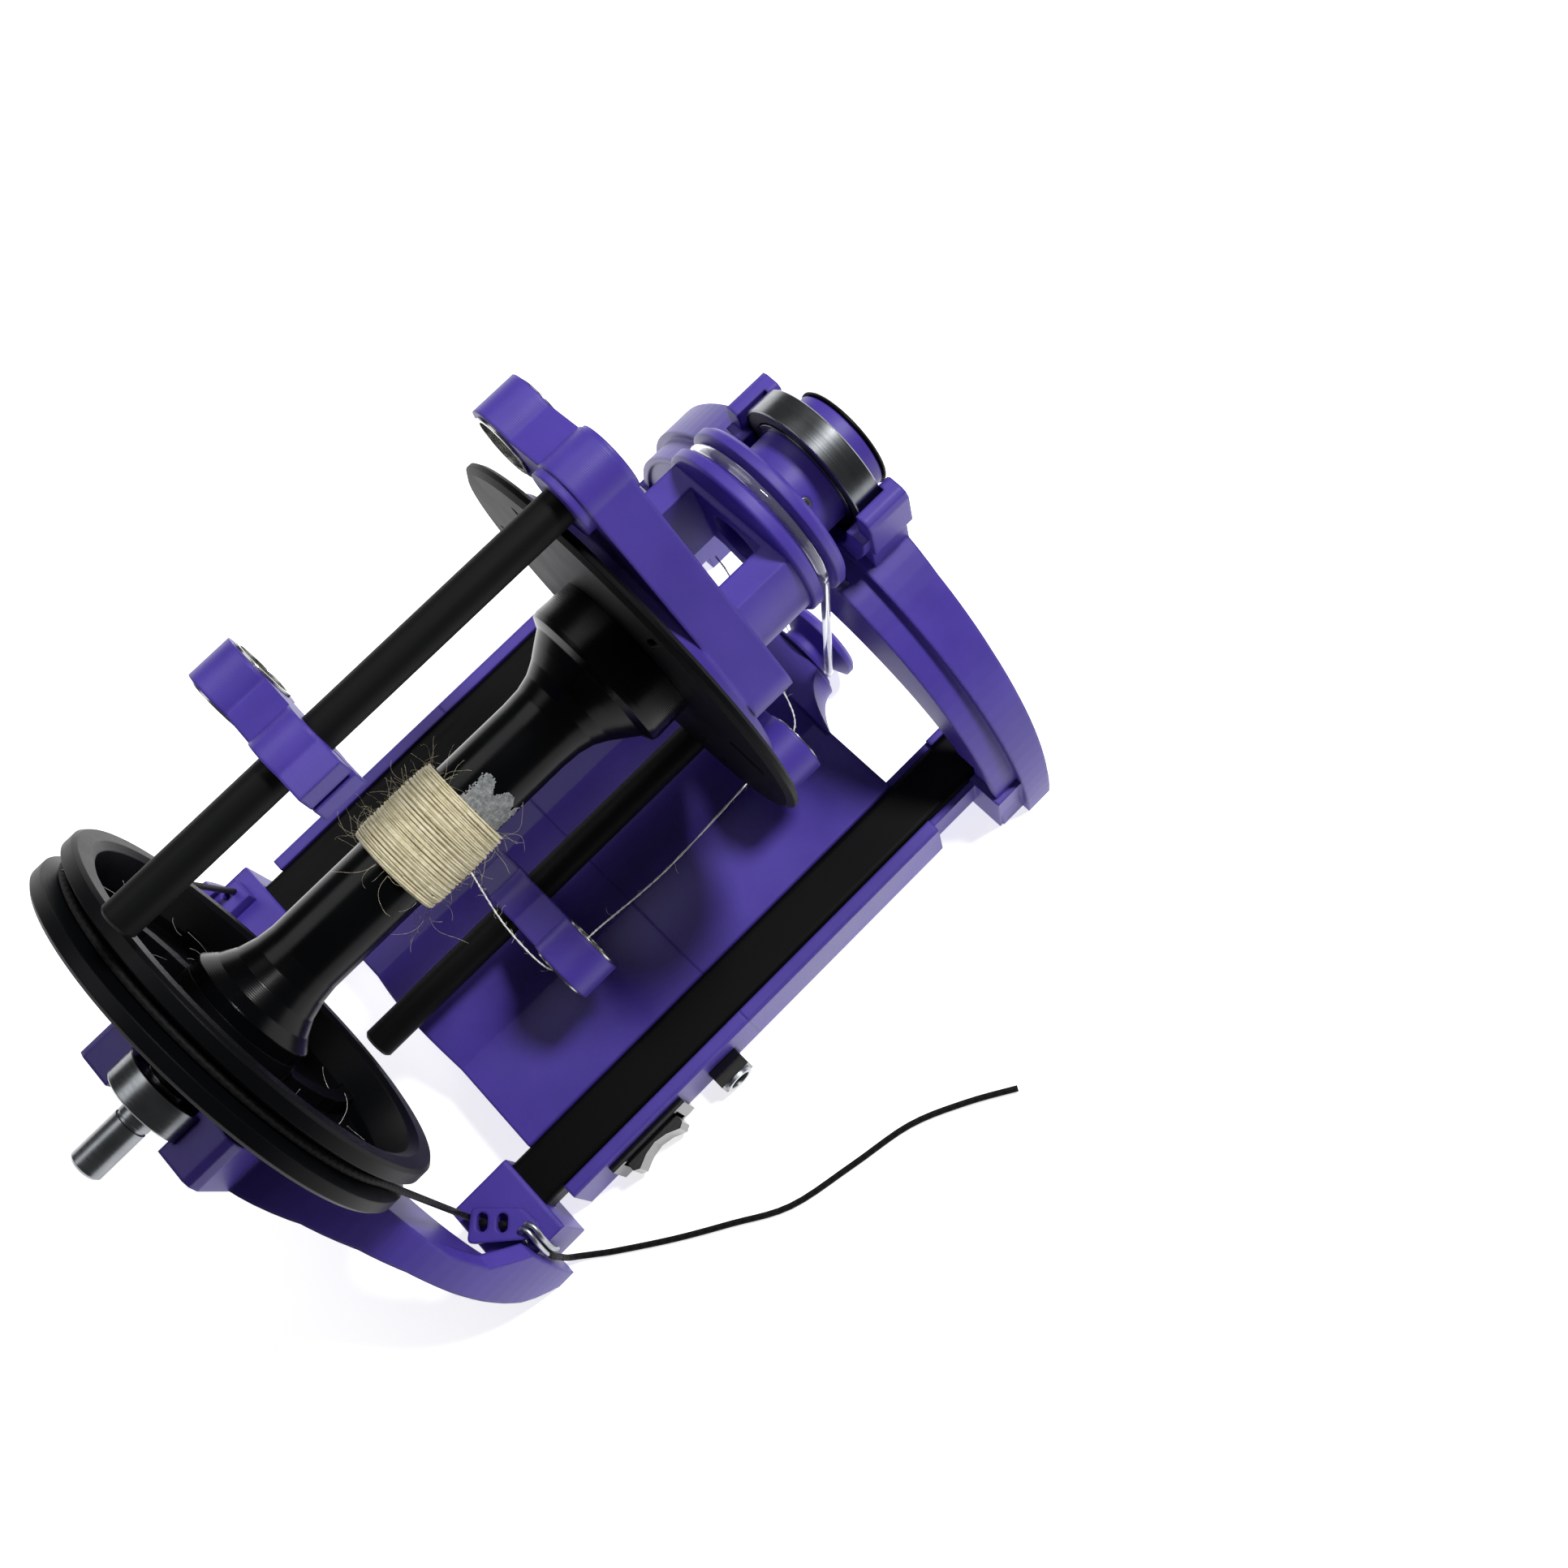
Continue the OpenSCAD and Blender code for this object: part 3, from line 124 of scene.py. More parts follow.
def add_tube(bm, line, radius, around, closed=False):
    """Adds one round tube to bm. Its UV map is (share of a turn, length in millimetres).

    around is the number of its sides. A closed tube joins its last ring to its first.
    """
    uv = bm.loops.layers.uv.verify()
    ahead, sides = frames_along(line, closed)
    rings = []
    run = [0.0]
    for a, b in zip(line, line[1:] + line[:1]):
        run.append(run[-1] + (b - a).length / MM)
    for i, centre in enumerate(line):
        up = ahead[i].cross(sides[i])
        ring = []
        for k in range(around):
            turn = 2 * math.pi * k / around
            out = math.cos(turn) * sides[i] + math.sin(turn) * up
            ring.append(bm.verts.new(centre + radius * out))
        rings.append(ring)
    last = len(line) if closed else len(line) - 1
    for i in range(last):
        j = (i + 1) % len(line)
        for k in range(around):
            m = (k + 1) % around
            face = bm.faces.new((rings[i][k], rings[i][m], rings[j][m], rings[j][k]))
            face.smooth = True
            spots = ((k, run[i]), (k + 1, run[i]), (k + 1, run[i + 1]), (k, run[i + 1]))
            for loop, (u, v) in zip(face.loops, spots):
                loop[uv].uv = (u / around, v)
    if not closed:
        bm.faces.new(list(reversed(rings[0])))
        bm.faces.new(rings[-1])


def mesh_piece(name, build):
    """One mesh object from a function that fills a bmesh."""
    bm = bmesh.new()
    build(bm)
    bmesh.ops.recalc_face_normals(bm, faces=bm.faces)
    mesh = bpy.data.meshes.new(name)
    bm.to_mesh(mesh)
    bm.free()
    piece = bpy.data.objects.new(name, mesh)
    bpy.context.scene.collection.objects.link(piece)
    print(name, "has", len(mesh.polygons), "faces")
    return piece


# %% [markdown]
# ## The free end of the brake cord
# A thin braided cord brakes the bobbin. Past its wire loop it is free: it drops beside the corner
# block, lies on the table and wanders out past the switch, where it is simply cut. It is limp,
# 1.6 mm thick, and all of it is in sight.

# %% brake cord, free end
cord_thick = 1.6 * MM
cord_sides = 14
on_table = 0.8
tail_steps = 5
tail_points = [(-66.4, 64.8, 10), (-66.9, 64.4, 5), (-68.2, 62.4, 1.9), (-70.4, 59.4, on_table),
               (-73.5, 55.2, on_table), (-81.6, 43, on_table), (-89, 30.4, on_table),
               (-96.4, 17, on_table), (-100.2, -0.6, on_table), (-103.4, -17.4, on_table),
               (-109.4, -31, on_table), (-116, -42.4, on_table)]
tail_line = smooth([Vector(p) * MM for p in tail_points], tail_steps)
tail = mesh_piece("brake_cord_tail",
                  lambda bm: add_tube(bm, tail_line, cord_thick / 2, cord_sides))
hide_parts("brake_tail")
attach(tail, "stand")

# %% [markdown]
# ## The cord round the bobbin
# The same cord starts under a small anchor block, runs over the groove of the bobbin's big pulley,
# comes down to the other corner and passes under the tensioner plate, where it humps up into two
# oval holes and ends where the free part starts. It is held all the way, so it is one fixed line:
# two tangents, an arc between them, and the humps.

# %% brake cord, held part
axis_z = 90.0
groove_gap = 0.12
groove_y = 67.2
groove_r = 46.2 + cord_thick / MM / 2 + groove_gap
arc_steps = 96
clip = (-46.4, 72.6, 21.2)
anchor = (59.0, 65.5, 24.0)
anchor_inside = (59.0, 63.0, 21.0)


def tangent(x, z, side):
    """Angle at which a straight run from (x, z) meets the groove."""
    far = math.hypot(x, z - axis_z)
    return math.atan2(z - axis_z, x) + side * math.acos(groove_r / far)


def on_groove(angle):
    """The point of the cord's middle line at this angle round the pulley."""
    return Vector((groove_r * math.cos(angle), groove_y, axis_z + groove_r * math.sin(angle)))


left = tangent(clip[0], clip[2], -1) + 2 * math.pi
right = tangent(anchor[0], anchor[2], 1)
arc = [on_groove(right + (left - right) * i / arc_steps) for i in range(arc_steps + 1)]
held = [Vector(anchor_inside), (Vector(anchor) + arc[0]) / 2]
held += arc
held.append((Vector(clip) * 2 + arc[-1]) / 3)
held += smooth([clip, (-48.6, 71.6, 21.4), (-50.6, 70.2, 22.6), (-52.4, 68.8, 21.6),
                (-54.2, 67.2, 22.6), (-56.4, 65.6, 21), (-60, 64.6, 20.6), (-64, 64.6, 19.8),
                (-66.2, 64.8, 16), tail_points[0]], 4)
held_line = [p * MM for p in held]
held_cord = mesh_piece("brake_cord_held",
                       lambda bm: add_tube(bm, held_line, cord_thick / 2, cord_sides))
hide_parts("brake_cord")
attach(held_cord, "stand")
print("held cord is", round(length_of(held_line) / MM), "mm long")

# %% [markdown]
# ## One way to add a shader node
# Every material below is a small tree of nodes. This one function adds a node with its settings,
# its input values and its links, so that a tree reads like a list. Colours are written as the
# sRGB hex values that a paint program shows, and turned to linear light once, here.

# %% node and colour helpers


def linear(code):
    """sRGB hex colour to linear light."""
    parts = [int(code[i:i + 2], 16) / 255 for i in (1, 3, 5)]
    return [c / 12.92 if c <= 0.04045 else ((c + 0.055) / 1.055) ** 2.4 for c in parts] + [1.0]


def add(tree, kind, inputs=None, links=None, **settings):
    """Adds one node, sets it up, fills its inputs and links them."""
    node = tree.nodes.new(kind)
    for key, value in settings.items():
        setattr(node, key, value)
    for key, value in (inputs or {}).items():
        node.inputs[key].default_value = value
    for key, source in (links or {}).items():
        tree.links.new(source, node.inputs[key])
    return node


def new_material(name, **values):
    """A material with one Principled shader and its plain values."""
    material = bpy.data.materials.new(name)
    material.use_nodes = True
    tree = material.node_tree
    tree.nodes.clear()
    shader = add(tree, "ShaderNodeBsdfPrincipled",
                 {key.replace("_", " "): value for key, value in values.items()})
    add(tree, "ShaderNodeOutputMaterial", links={"Surface": shader.outputs[0]})
    return material, tree, shader


def ramp(tree, source, stops):
    """A colour ramp from (place, hex colour) stops."""
    node = add(tree, "ShaderNodeValToRGB", links={"Fac": source})
    bar = node.color_ramp
    while len(bar.elements) < len(stops):
        bar.elements.new(0.5)
    for element, (place, code) in zip(bar.elements, stops):
        element.position = place
        element.color = linear(code)
    return node.outputs["Color"]


def per_mm(size_mm):
    """Noise scale that makes a spot about size_mm across."""
    return 1000.0 / size_mm


# A wave node at scale 1 makes one band every 2 pi / 20 of its input.
WAVE_PERIOD = 2 * math.pi / 20


def bands_mm(period_mm):
    """Wave scale that makes one band every period_mm."""
    return WAVE_PERIOD / (period_mm * MM)


def paint(material, *names):
    """Gives CAD nodes a material in place of the one they came with."""
    for name in names:
        mesh = nodes[name].data
        mesh.materials.clear()
        mesh.materials.append(material)
    print(material.name, "on", ", ".join(names))


# %% [markdown]
# ## PLA, printed
# The stand, the flyer and the guides are printed in violet PLA. A printed part shows thin layer
# lines across the direction it was built in, 0.2 mm each on the real one; they are drawn 0.4 mm
# apart, so that they still show. The plastic is a little cloudy, with a soft satin gloss, and its
# corners are slightly round, which a Bevel node gives without touching the mesh.

# %% printed plastic


def printed_plastic(name, light, dark, build_axis, rough, lines=0.25, grain=0.12):
    """PLA laid down in layers along build_axis."""
    material, tree, shader = new_material(name, IOR=1.46, Specular_IOR_Level=0.4)
    place = add(tree, "ShaderNodeTexCoord").outputs["Object"]
    cloud = add(tree, "ShaderNodeTexNoise", {"Scale": per_mm(24), "Detail": 5.0}, {"Vector": place})
    colour = ramp(tree, cloud.outputs["Fac"], [(0.32, dark), (0.68, light)])
    layers = add(tree, "ShaderNodeTexWave", {"Scale": bands_mm(0.4), "Distortion": 0.8,
                                             "Detail": 1.0, "Detail Scale": 0.3},
                 {"Vector": place}, bands_direction=build_axis)
    pits = add(tree, "ShaderNodeTexNoise", {"Scale": per_mm(0.5), "Detail": 3.0}, {"Vector": place})
    wear = add(tree, "ShaderNodeMapRange", {"To Min": rough - 0.07, "To Max": rough + 0.09},
               {"Value": cloud.outputs["Fac"]})
    edge = add(tree, "ShaderNodeBevel", {"Radius": 1.1 * MM}, samples=4)
    fine = add(tree, "ShaderNodeBump", {"Strength": grain, "Distance": 0.05 * MM},
               {"Height": pits.outputs["Fac"], "Normal": edge.outputs[0]})
    bump = add(tree, "ShaderNodeBump", {"Strength": lines, "Distance": 0.05 * MM},
               {"Height": layers.outputs["Fac"], "Normal": fine.outputs[0]})
    tree.links.new(colour, shader.inputs["Base Color"])
    tree.links.new(wear.outputs[0], shader.inputs["Roughness"])
    tree.links.new(bump.outputs[0], shader.inputs["Normal"])
    return material


violet_light = "#4a3a9c"
violet_dark = "#3e2f8b"
satin = 0.42
violet_along = printed_plastic("PLA_violet_layers_along", violet_light, violet_dark, "Y", satin)
violet_up = printed_plastic("PLA_violet_layers_up", violet_light, violet_dark, "Z", satin)
paint(violet_along, "front_maiden", "rear_maiden", "housing_front", "housing_rear", "flyer_head",
      "guide_upper", "guide_lower", "motor_pulley")
paint(violet_up, "housing_cover", "brake_tensioner", "brake_anchor")

# %% [markdown]
# ## Black PLA for the bobbin
# The bobbin is printed in black. Its core is smooth and glossy, so light runs along it in streaks.
# The flat faces that lay on the printer's textured bed are coarse and sparkle, so their material
# takes its bump only where the surface faces along the shaft. The front disc is smooth all over.

# %% black printed plastic


def bed_textured_plastic(name, colour_hex, rough, spot_mm, strength, shine):
    """Black PLA, smooth on its sides and coarse on faces square to Y."""
    material, tree, shader = new_material(name, IOR=1.46, Base_Color=linear(colour_hex),
                                          Specular_IOR_Level=shine)
    place = add(tree, "ShaderNodeTexCoord").outputs["Object"]
    facing = add(tree, "ShaderNodeSeparateXYZ", links={
        "Vector": add(tree, "ShaderNodeNewGeometry").outputs["True Normal"]})
    flat = add(tree, "ShaderNodeMath", links={0: facing.outputs["Y"]}, operation="ABSOLUTE")
    only = add(tree, "ShaderNodeMapRange", {"From Min": 0.9, "From Max": 0.99, "To Max": strength},
               {"Value": flat.outputs[0]})
    spots = add(tree, "ShaderNodeTexNoise", {"Scale": per_mm(spot_mm), "Detail": 4.0,
                                             "Roughness": 0.7}, {"Vector": place})
    layers = add(tree, "ShaderNodeTexWave", {"Scale": bands_mm(0.4), "Distortion": 0.6},
                 {"Vector": place}, bands_direction="Y")
    edge = add(tree, "ShaderNodeBevel", {"Radius": 0.4 * MM}, samples=4)
    lines = add(tree, "ShaderNodeBump", {"Strength": 0.12, "Distance": 0.05 * MM},
                {"Height": layers.outputs["Fac"], "Normal": edge.outputs[0]})
    coarse = add(tree, "ShaderNodeBump", {"Distance": 0.25 * MM},
                 {"Height": spots.outputs["Fac"], "Strength": only.outputs[0],
                  "Normal": lines.outputs[0]})
    cloud = add(tree, "ShaderNodeTexNoise", {"Scale": per_mm(15), "Detail": 3.0}, {"Vector": place})
    wear = add(tree, "ShaderNodeMapRange", {"To Min": rough - 0.05, "To Max": rough + 0.1},
               {"Value": cloud.outputs["Fac"]})
    tree.links.new(wear.outputs[0], shader.inputs["Roughness"])
    tree.links.new(coarse.outputs[0], shader.inputs["Normal"])
    return material


bobbin_black = bed_textured_plastic("PLA_black_bobbin", "#050608", rough=0.38, spot_mm=0.7,
                                    strength=0.4, shine=0.1)
flange_black = bed_textured_plastic("PLA_black_flange", "#050608", rough=0.5, spot_mm=0.9,
                                    strength=0.0, shine=0.08)
core_black = bed_textured_plastic("PLA_black_core", "#040506", rough=0.2, spot_mm=0.7,
                                  strength=0.5, shine=0.16)
paint(bobbin_black, "bobbin_whorl", "orifice_liner", "shaft_spacer")
paint(flange_black, "bobbin_front_flange")
paint(core_black, "bobbin_core")

# %% [markdown]
# ## Bars, rods, switch, seal and board
# The base bars are anodised and the flyer's rods are carbon. Both have a dull drawn surface, with
# fine scratches along them. The rocker switch and the power inlet are glossy moulded nylon,
# slightly orange-peeled. The front bearing's seal is nitrile rubber, and the hidden speed board is
# green.

# %% other black finishes


def drawn_black(name, colour_hex, rough):
    """Black bar stock with fine lines along Y."""
    material, tree, shader = new_material(name, IOR=1.5, Base_Color=linear(colour_hex),
                                          Specular_IOR_Level=0.1)
    place = add(tree, "ShaderNodeTexCoord").outputs["Object"]
    drawn = add(tree, "ShaderNodeMapping", {"Scale": (1.0, 0.04, 1.0)}, {"Vector": place})
    lines = add(tree, "ShaderNodeTexNoise", {"Scale": per_mm(0.6), "Detail": 4.0},
                {"Vector": drawn.outputs[0]})
    wear = add(tree, "ShaderNodeMapRange", {"To Min": rough - 0.08, "To Max": rough + 0.12},
               {"Value": lines.outputs["Fac"]})
    edge = add(tree, "ShaderNodeBevel", {"Radius": 0.7 * MM}, samples=4)
    bump = add(tree, "ShaderNodeBump", {"Strength": 0.2, "Distance": 0.04 * MM},
               {"Height": lines.outputs["Fac"], "Normal": edge.outputs[0]})
    tree.links.new(wear.outputs[0], shader.inputs["Roughness"])
    tree.links.new(bump.outputs[0], shader.inputs["Normal"])
    return material


def moulded(name, colour_hex, rough, dimple_mm, strength):
    """Injection-moulded plastic or rubber with a faint orange-peel skin."""
    material, tree, shader = new_material(name, Roughness=rough, Base_Color=linear(colour_hex))
    place = add(tree, "ShaderNodeTexCoord").outputs["Object"]
    skin = add(tree, "ShaderNodeTexNoise", {"Scale": per_mm(dimple_mm), "Detail": 2.0},
               {"Vector": place})
    edge = add(tree, "ShaderNodeBevel", {"Radius": 0.3 * MM}, samples=4)
    bump = add(tree, "ShaderNodeBump", {"Strength": strength, "Distance": 0.05 * MM},
               {"Height": skin.outputs["Fac"], "Normal": edge.outputs[0]})
    tree.links.new(bump.outputs[0], shader.inputs["Normal"])
    return material


bar_black = drawn_black("anodised_bar_black", "#050506", 0.45)
rod_black = drawn_black("carbon_rod_black", "#0d0e0e", 0.5)
switch_black = moulded("nylon_moulded_gloss", "#0a0b0c", rough=0.2, dimple_mm=1.2, strength=0.15)
seal_black = moulded("nitrile_rubber", "#141416", rough=0.55, dimple_mm=0.5, strength=0.3)
board_green = moulded("solder_mask_green", "#14502c", rough=0.3, dimple_mm=1.5, strength=0.3)
paint(bar_black, "base_bar_left", "base_bar_right")
paint(rod_black, "flyer_rod_upper", "flyer_rod_lower")
paint(switch_black, "switch_bezel", "switch_rocker", "power_jack")
paint(seal_black, "front_bearing_seal")
paint(board_green, "speed_board")

# %% [markdown]
# ## Steel, turned and ground
# Bearings and shaft are chrome steel. Their marks run round the shaft, so the pattern must depend
# only on the distance from the axis and the place along it. Both are worked out from the object's
# own coordinates, and a noise over the two gives fine rings. Eyelets, screws, the motor case and
# the bronze bushes take the same function with their own colour, gloss and size of mark.

# %% steel


def turned_metal(name, colour_hex, rough, mark_mm=0.35, strength=0.25, dark_hex="#85888a"):
    """Metal turned or ground about the wheel's axis, a line along Y."""
    material, tree, shader = new_material(name, Metallic=1.0)
    place = add(tree, "ShaderNodeTexCoord").outputs["Object"]
    centred = add(tree, "ShaderNodeMapping", {"Location": (0.0, 0.0, -axis_z * MM)},
                  {"Vector": place})
    parts = add(tree, "ShaderNodeSeparateXYZ", links={"Vector": centred.outputs[0]})
    across = add(tree, "ShaderNodeCombineXYZ",
                 links={"X": parts.outputs["X"], "Z": parts.outputs["Z"]})
    radius = add(tree, "ShaderNodeVectorMath", links={0: across.outputs[0]}, operation="LENGTH")
    rings = add(tree, "ShaderNodeCombineXYZ",
                links={"X": radius.outputs["Value"], "Y": parts.outputs["Y"]})
    marks = add(tree, "ShaderNodeTexNoise", {"Scale": per_mm(mark_mm), "Detail": 3.0},
                {"Vector": rings.outputs[0]})
    stains = add(tree, "ShaderNodeTexNoise", {"Scale": per_mm(9), "Detail": 4.0}, {"Vector": place})
    colour = ramp(tree, stains.outputs["Fac"], [(0.3, dark_hex), (0.7, colour_hex)])
    wear = add(tree, "ShaderNodeMapRange", {"To Min": rough - 0.05, "To Max": rough + 0.12},
               {"Value": marks.outputs["Fac"]})
    edge = add(tree, "ShaderNodeBevel", {"Radius": 0.3 * MM}, samples=4)
    bump = add(tree, "ShaderNodeBump", {"Strength": strength, "Distance": 0.02 * MM},
               {"Height": marks.outputs["Fac"], "Normal": edge.outputs[0]})
    tree.links.new(colour, shader.inputs["Base Color"])
    tree.links.new(wear.outputs[0], shader.inputs["Roughness"])
    tree.links.new(bump.outputs[0], shader.inputs["Normal"])
    return material


chrome_steel = turned_metal("chrome_steel_ground", "#8c8f92", 0.2, strength=0.08,
                            dark_hex="#6c6f72")
shaft_steel = turned_metal("silver_steel_shaft", "#8f9296", 0.26, strength=0.08,
                           dark_hex="#75787b")
eyelet_steel = turned_metal("nickel_plated_eyelet", "#d3d2cc", 0.22, mark_mm=0.6)
screw_steel = turned_metal("zinc_plated_steel", "#bcc0c4", 0.34, mark_mm=0.8)
sintered = turned_metal("sintered_bronze", "#b98d4a", 0.4, dark_hex="#8a6a3a")
paint(chrome_steel, "front_bearing_outer", "front_bearing_inner", "front_bearing_balls",
      "rear_bearing_outer", "rear_bearing_inner", "rear_bearing_balls", "rear_bearing_seal")
paint(shaft_steel, "flyer_shaft", "motor_shaft")
paint(eyelet_steel, "fixed_eyelet_upper", "fixed_eyelet_lower", "guide_upper_eyelet",
      "guide_lower_eyelet")
paint(screw_steel, "cover_screws", "motor_screws", "power_jack_ring", "whorl_grub_screw",
      "motor_can")
paint(sintered, "bobbin_bushes")

# %% [markdown]
# ## Braided cord
# The brake cord is a braid of fine polyester threads. Two sets of bands wind round it in opposite
# directions and cross; on the tube's own UV map, with length in millimetres, each set is a wave on
# a slanted line. The real threads are about 0.3 mm apart and are drawn twice as coarse.

# %% braided cord
STRANDS_ROUND = 8.0


def braided(name, light, dark, turn_mm, rough):
    """Braid on a tube's UV map: two sets of bands that cross, with painted shade in the grooves
    between them. turn_mm is the braid's pitch.
    """
    material, tree, shader = new_material(name, Roughness=rough, Sheen_Weight=0.03,
                                          Sheen_Roughness=0.5, Specular_IOR_Level=0.15)
    spot = add(tree, "ShaderNodeTexCoord").outputs["UV"]
    heights = []
    for way in (1, -1):
        turned = add(tree, "ShaderNodeMapping",
                     {"Scale": (STRANDS_ROUND * way, 1.0 / turn_mm * 2, 1.0)}, {"Vector": spot})
        band = add(tree, "ShaderNodeTexWave", {"Scale": WAVE_PERIOD / 2},
                   {"Vector": turned.outputs[0]}, bands_direction="DIAGONAL")
        heights.append(band.outputs["Fac"])
    weave = add(tree, "ShaderNodeMath", links={0: heights[0], 1: heights[1]}, operation="MAXIMUM")
    # The colour follows the weave's height: darker in the grooves between the threads, which is
    # painted shade, and lighter on their crests.
    colour = ramp(tree, weave.outputs[0], [(0.2, dark), (0.9, light)])
    bump = add(tree, "ShaderNodeBump", {"Strength": 0.6, "Distance": 0.12 * MM},
               {"Height": weave.outputs[0]})
    tree.links.new(colour, shader.inputs["Base Color"])
    tree.links.new(bump.outputs[0], shader.inputs["Normal"])
    return material


cord_black = braided("polyester_braid_black", "#0d0e0f", "#040405", turn_mm=1.2, rough=0.7)
for piece in (tail, held_cord):
    piece.data.materials.append(cord_black)
print(cord_black.name, "on both parts of the cord")

# %% [markdown]
# ## The wire loop
# A bent piece of zinc-plated wire joins the tensioner plate to the block. It is a tube along a
# short smooth line, made twice side by side, because the real wire is doubled.

# %% wire loop
plate_z = 21.8
plate_top = 24.2
wire_thick = 1.3
wire_apart = 1.7
wire_sides = 14
wire_steps = 8
wire_points = [(-60.6, 66.4, plate_z - 0.9), (-58.6, 64.8, plate_top + 0.8),
               (-60.4, 63.6, plate_top + 1.6), (-63.4, 64.0, plate_top), (-65.5, 64.9, plate_z - 3),
               (-65.4, 65.0, plate_z - 8)]


def two_wires(bm):
    """The same bent line twice."""
    for shift in (0.0, -wire_apart):
        line = smooth([Vector((x, y + shift, z)) * MM for x, y, z in wire_points], wire_steps)
        add_tube(bm, line, wire_thick / 2 * MM, wire_sides)


wire = mesh_piece("tensioner_wire", two_wires)
wire.data.materials.append(screw_steel)
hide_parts("brake_hook")
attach(wire, "stand")

# %% [markdown]
# ## The clear belt
# A round belt of clear polyurethane, 2.2 mm thick, drives the flyer. It is welded into a loop:
# two arcs, round the flyer's groove and the motor's, and two straight runs. Clear polyurethane is
# a soft glass to the eye, so the material lets light through and bends it.

# %% drive belt
belt_y = -85.8
belt_thick = 2.2
belt_sides = 18
big_r = 19 + belt_thick / 2 + groove_gap
small_r = 7 + belt_thick / 2 + groove_gap
motor_z = 12.6
big_steps = 72
run_steps = 24
small_steps = 36
lean = math.asin((big_r - small_r) / (axis_z - motor_z))


def on_pulley(radius, centre_z, angle):
    """The point of the belt's middle line at this angle round a pulley."""
    return Vector((radius * math.cos(angle), belt_y, centre_z + radius * math.sin(angle)))


def belt_loop():
    """Big arc, straight run, small arc, straight run."""
    big = [on_pulley(big_r, axis_z, -lean + (math.pi + 2 * lean) * i / big_steps)
           for i in range(big_steps + 1)]
    small = [on_pulley(small_r, motor_z, math.pi + lean + (math.pi - 2 * lean) * i / small_steps)
             for i in range(small_steps + 1)]
    down = [big[-1].lerp(small[0], i / run_steps) for i in range(1, run_steps)]
    back = [small[-1].lerp(big[0], i / run_steps) for i in range(1, run_steps)]
    return [p * MM for p in big + down + small + back]


belt = mesh_piece("clear_belt", lambda bm: add_tube(bm, belt_loop(), belt_thick / 2 * MM,
                                                    belt_sides, closed=True))
belt_clear, belt_tree, belt_shader = new_material(
    "polyurethane_belt_clear", Base_Color=linear("#eef1f3"), Roughness=0.06, IOR=1.45,
    Transmission_Weight=0.95)
belt_place = add(belt_tree, "ShaderNodeTexCoord").outputs["UV"]
belt_waves = add(belt_tree, "ShaderNodeTexNoise", {"Scale": 0.1, "Detail": 2.0},
                 {"Vector": belt_place})
belt_bump = add(belt_tree, "ShaderNodeBump", {"Strength": 0.1, "Distance": 0.1 * MM},
                {"Height": belt_waves.outputs["Fac"]})
belt_tree.links.new(belt_bump.outputs[0], belt_shader.inputs["Normal"])
belt.data.materials.append(belt_clear)
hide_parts("drive_belt")
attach(belt, "stand")

# %% [markdown]
# ## Spun wool
# Wool yarn is cream, never one colour, and scatters light softly. Its material mottles three tones
# and adds the fine twist of the plies as bump along the tube's own UV map. The windings are cream;
# the stretched yarn and the stray fibres get a nearly white copy of it, a painted highlight for the
# light they catch.

# %% wool material


def spun_wool(name, stops, sheen):
    """Wool: three mottled tones with the twist of the plies as bump."""
    material, tree, shader = new_material(name, Roughness=0.9, Sheen_Weight=sheen,
                                          Sheen_Roughness=0.4, Specular_IOR_Level=0.2)
    place = add(tree, "ShaderNodeTexCoord")
    cloud = add(tree, "ShaderNodeTexNoise", {"Scale": per_mm(2.5), "Detail": 6.0, "Roughness": 0.7},
                {"Vector": place.outputs["Object"]})
    colour = ramp(tree, cloud.outputs["Fac"], stops)
    slant = add(tree, "ShaderNodeMapping", {"Scale": (2.0, 1.0, 1.0)},
                {"Vector": place.outputs["UV"]})
    twist = add(tree, "ShaderNodeTexWave", {"Scale": WAVE_PERIOD / 1.2, "Distortion": 2.0,
                                            "Detail": 2.0},
                {"Vector": slant.outputs[0]}, bands_direction="DIAGONAL")
    bump = add(tree, "ShaderNodeBump", {"Strength": 0.5, "Distance": 0.1 * MM},
               {"Height": twist.outputs["Fac"]})
    tree.links.new(colour, shader.inputs["Base Color"])
    tree.links.new(bump.outputs[0], shader.inputs["Normal"])
    return material


wool = spun_wool("wool_yarn", [(0.25, "#b3a984"), (0.5, "#cfc6a6"), (0.75, "#e4dcc4")],
                 sheen=0.3)
# A nearly white copy of the wool: a painted highlight on the stretched yarn and the stray fibres.
wool_painted_highlight = spun_wool("wool_yarn_painted_highlight",
                       [(0.25, "#e9e6dc"), (0.5, "#f4f2ea"), (0.75, "#fbfaf5")], sheen=0.5)
print("made", wool.name, "and", wool_painted_highlight.name)

# %% [markdown]
# ## The wound yarn
# A few dozen turns of fine yarn sit in a band on the bobbin's core. A plain cylinder would look
# like paper, so the yarn is really wound: four layers of helix cross each other at small angles
# over a pad, each turn wandering a little. The pad is a cylinder with its end edges bevelled
# round.

# %% wound yarn
random.seed(7)
core_r = 9.2
pack_r = 11.6
pack_y = (2.0, 24.0)
yarn_thick = 0.5
yarn_sides = 6
lap_steps = 36
drift_mm = 0.3
swell_mm = 0.12
# First y, last y, depth under the outside, turns, phase.
pack_layers = [(pack_y[0] + 0.4, pack_y[1] - 0.4, 0.7, 44, 0.0),
               (pack_y[1] - 0.9, pack_y[0] + 1.1, 0.45, 33, 1.0),
               (pack_y[0] + 1.6, pack_y[1] - 2.2, 0.25, 24, 2.2),
               (pack_y[1] - 3.0, pack_y[0] + 5.0, 0.1, 14, 3.0)]


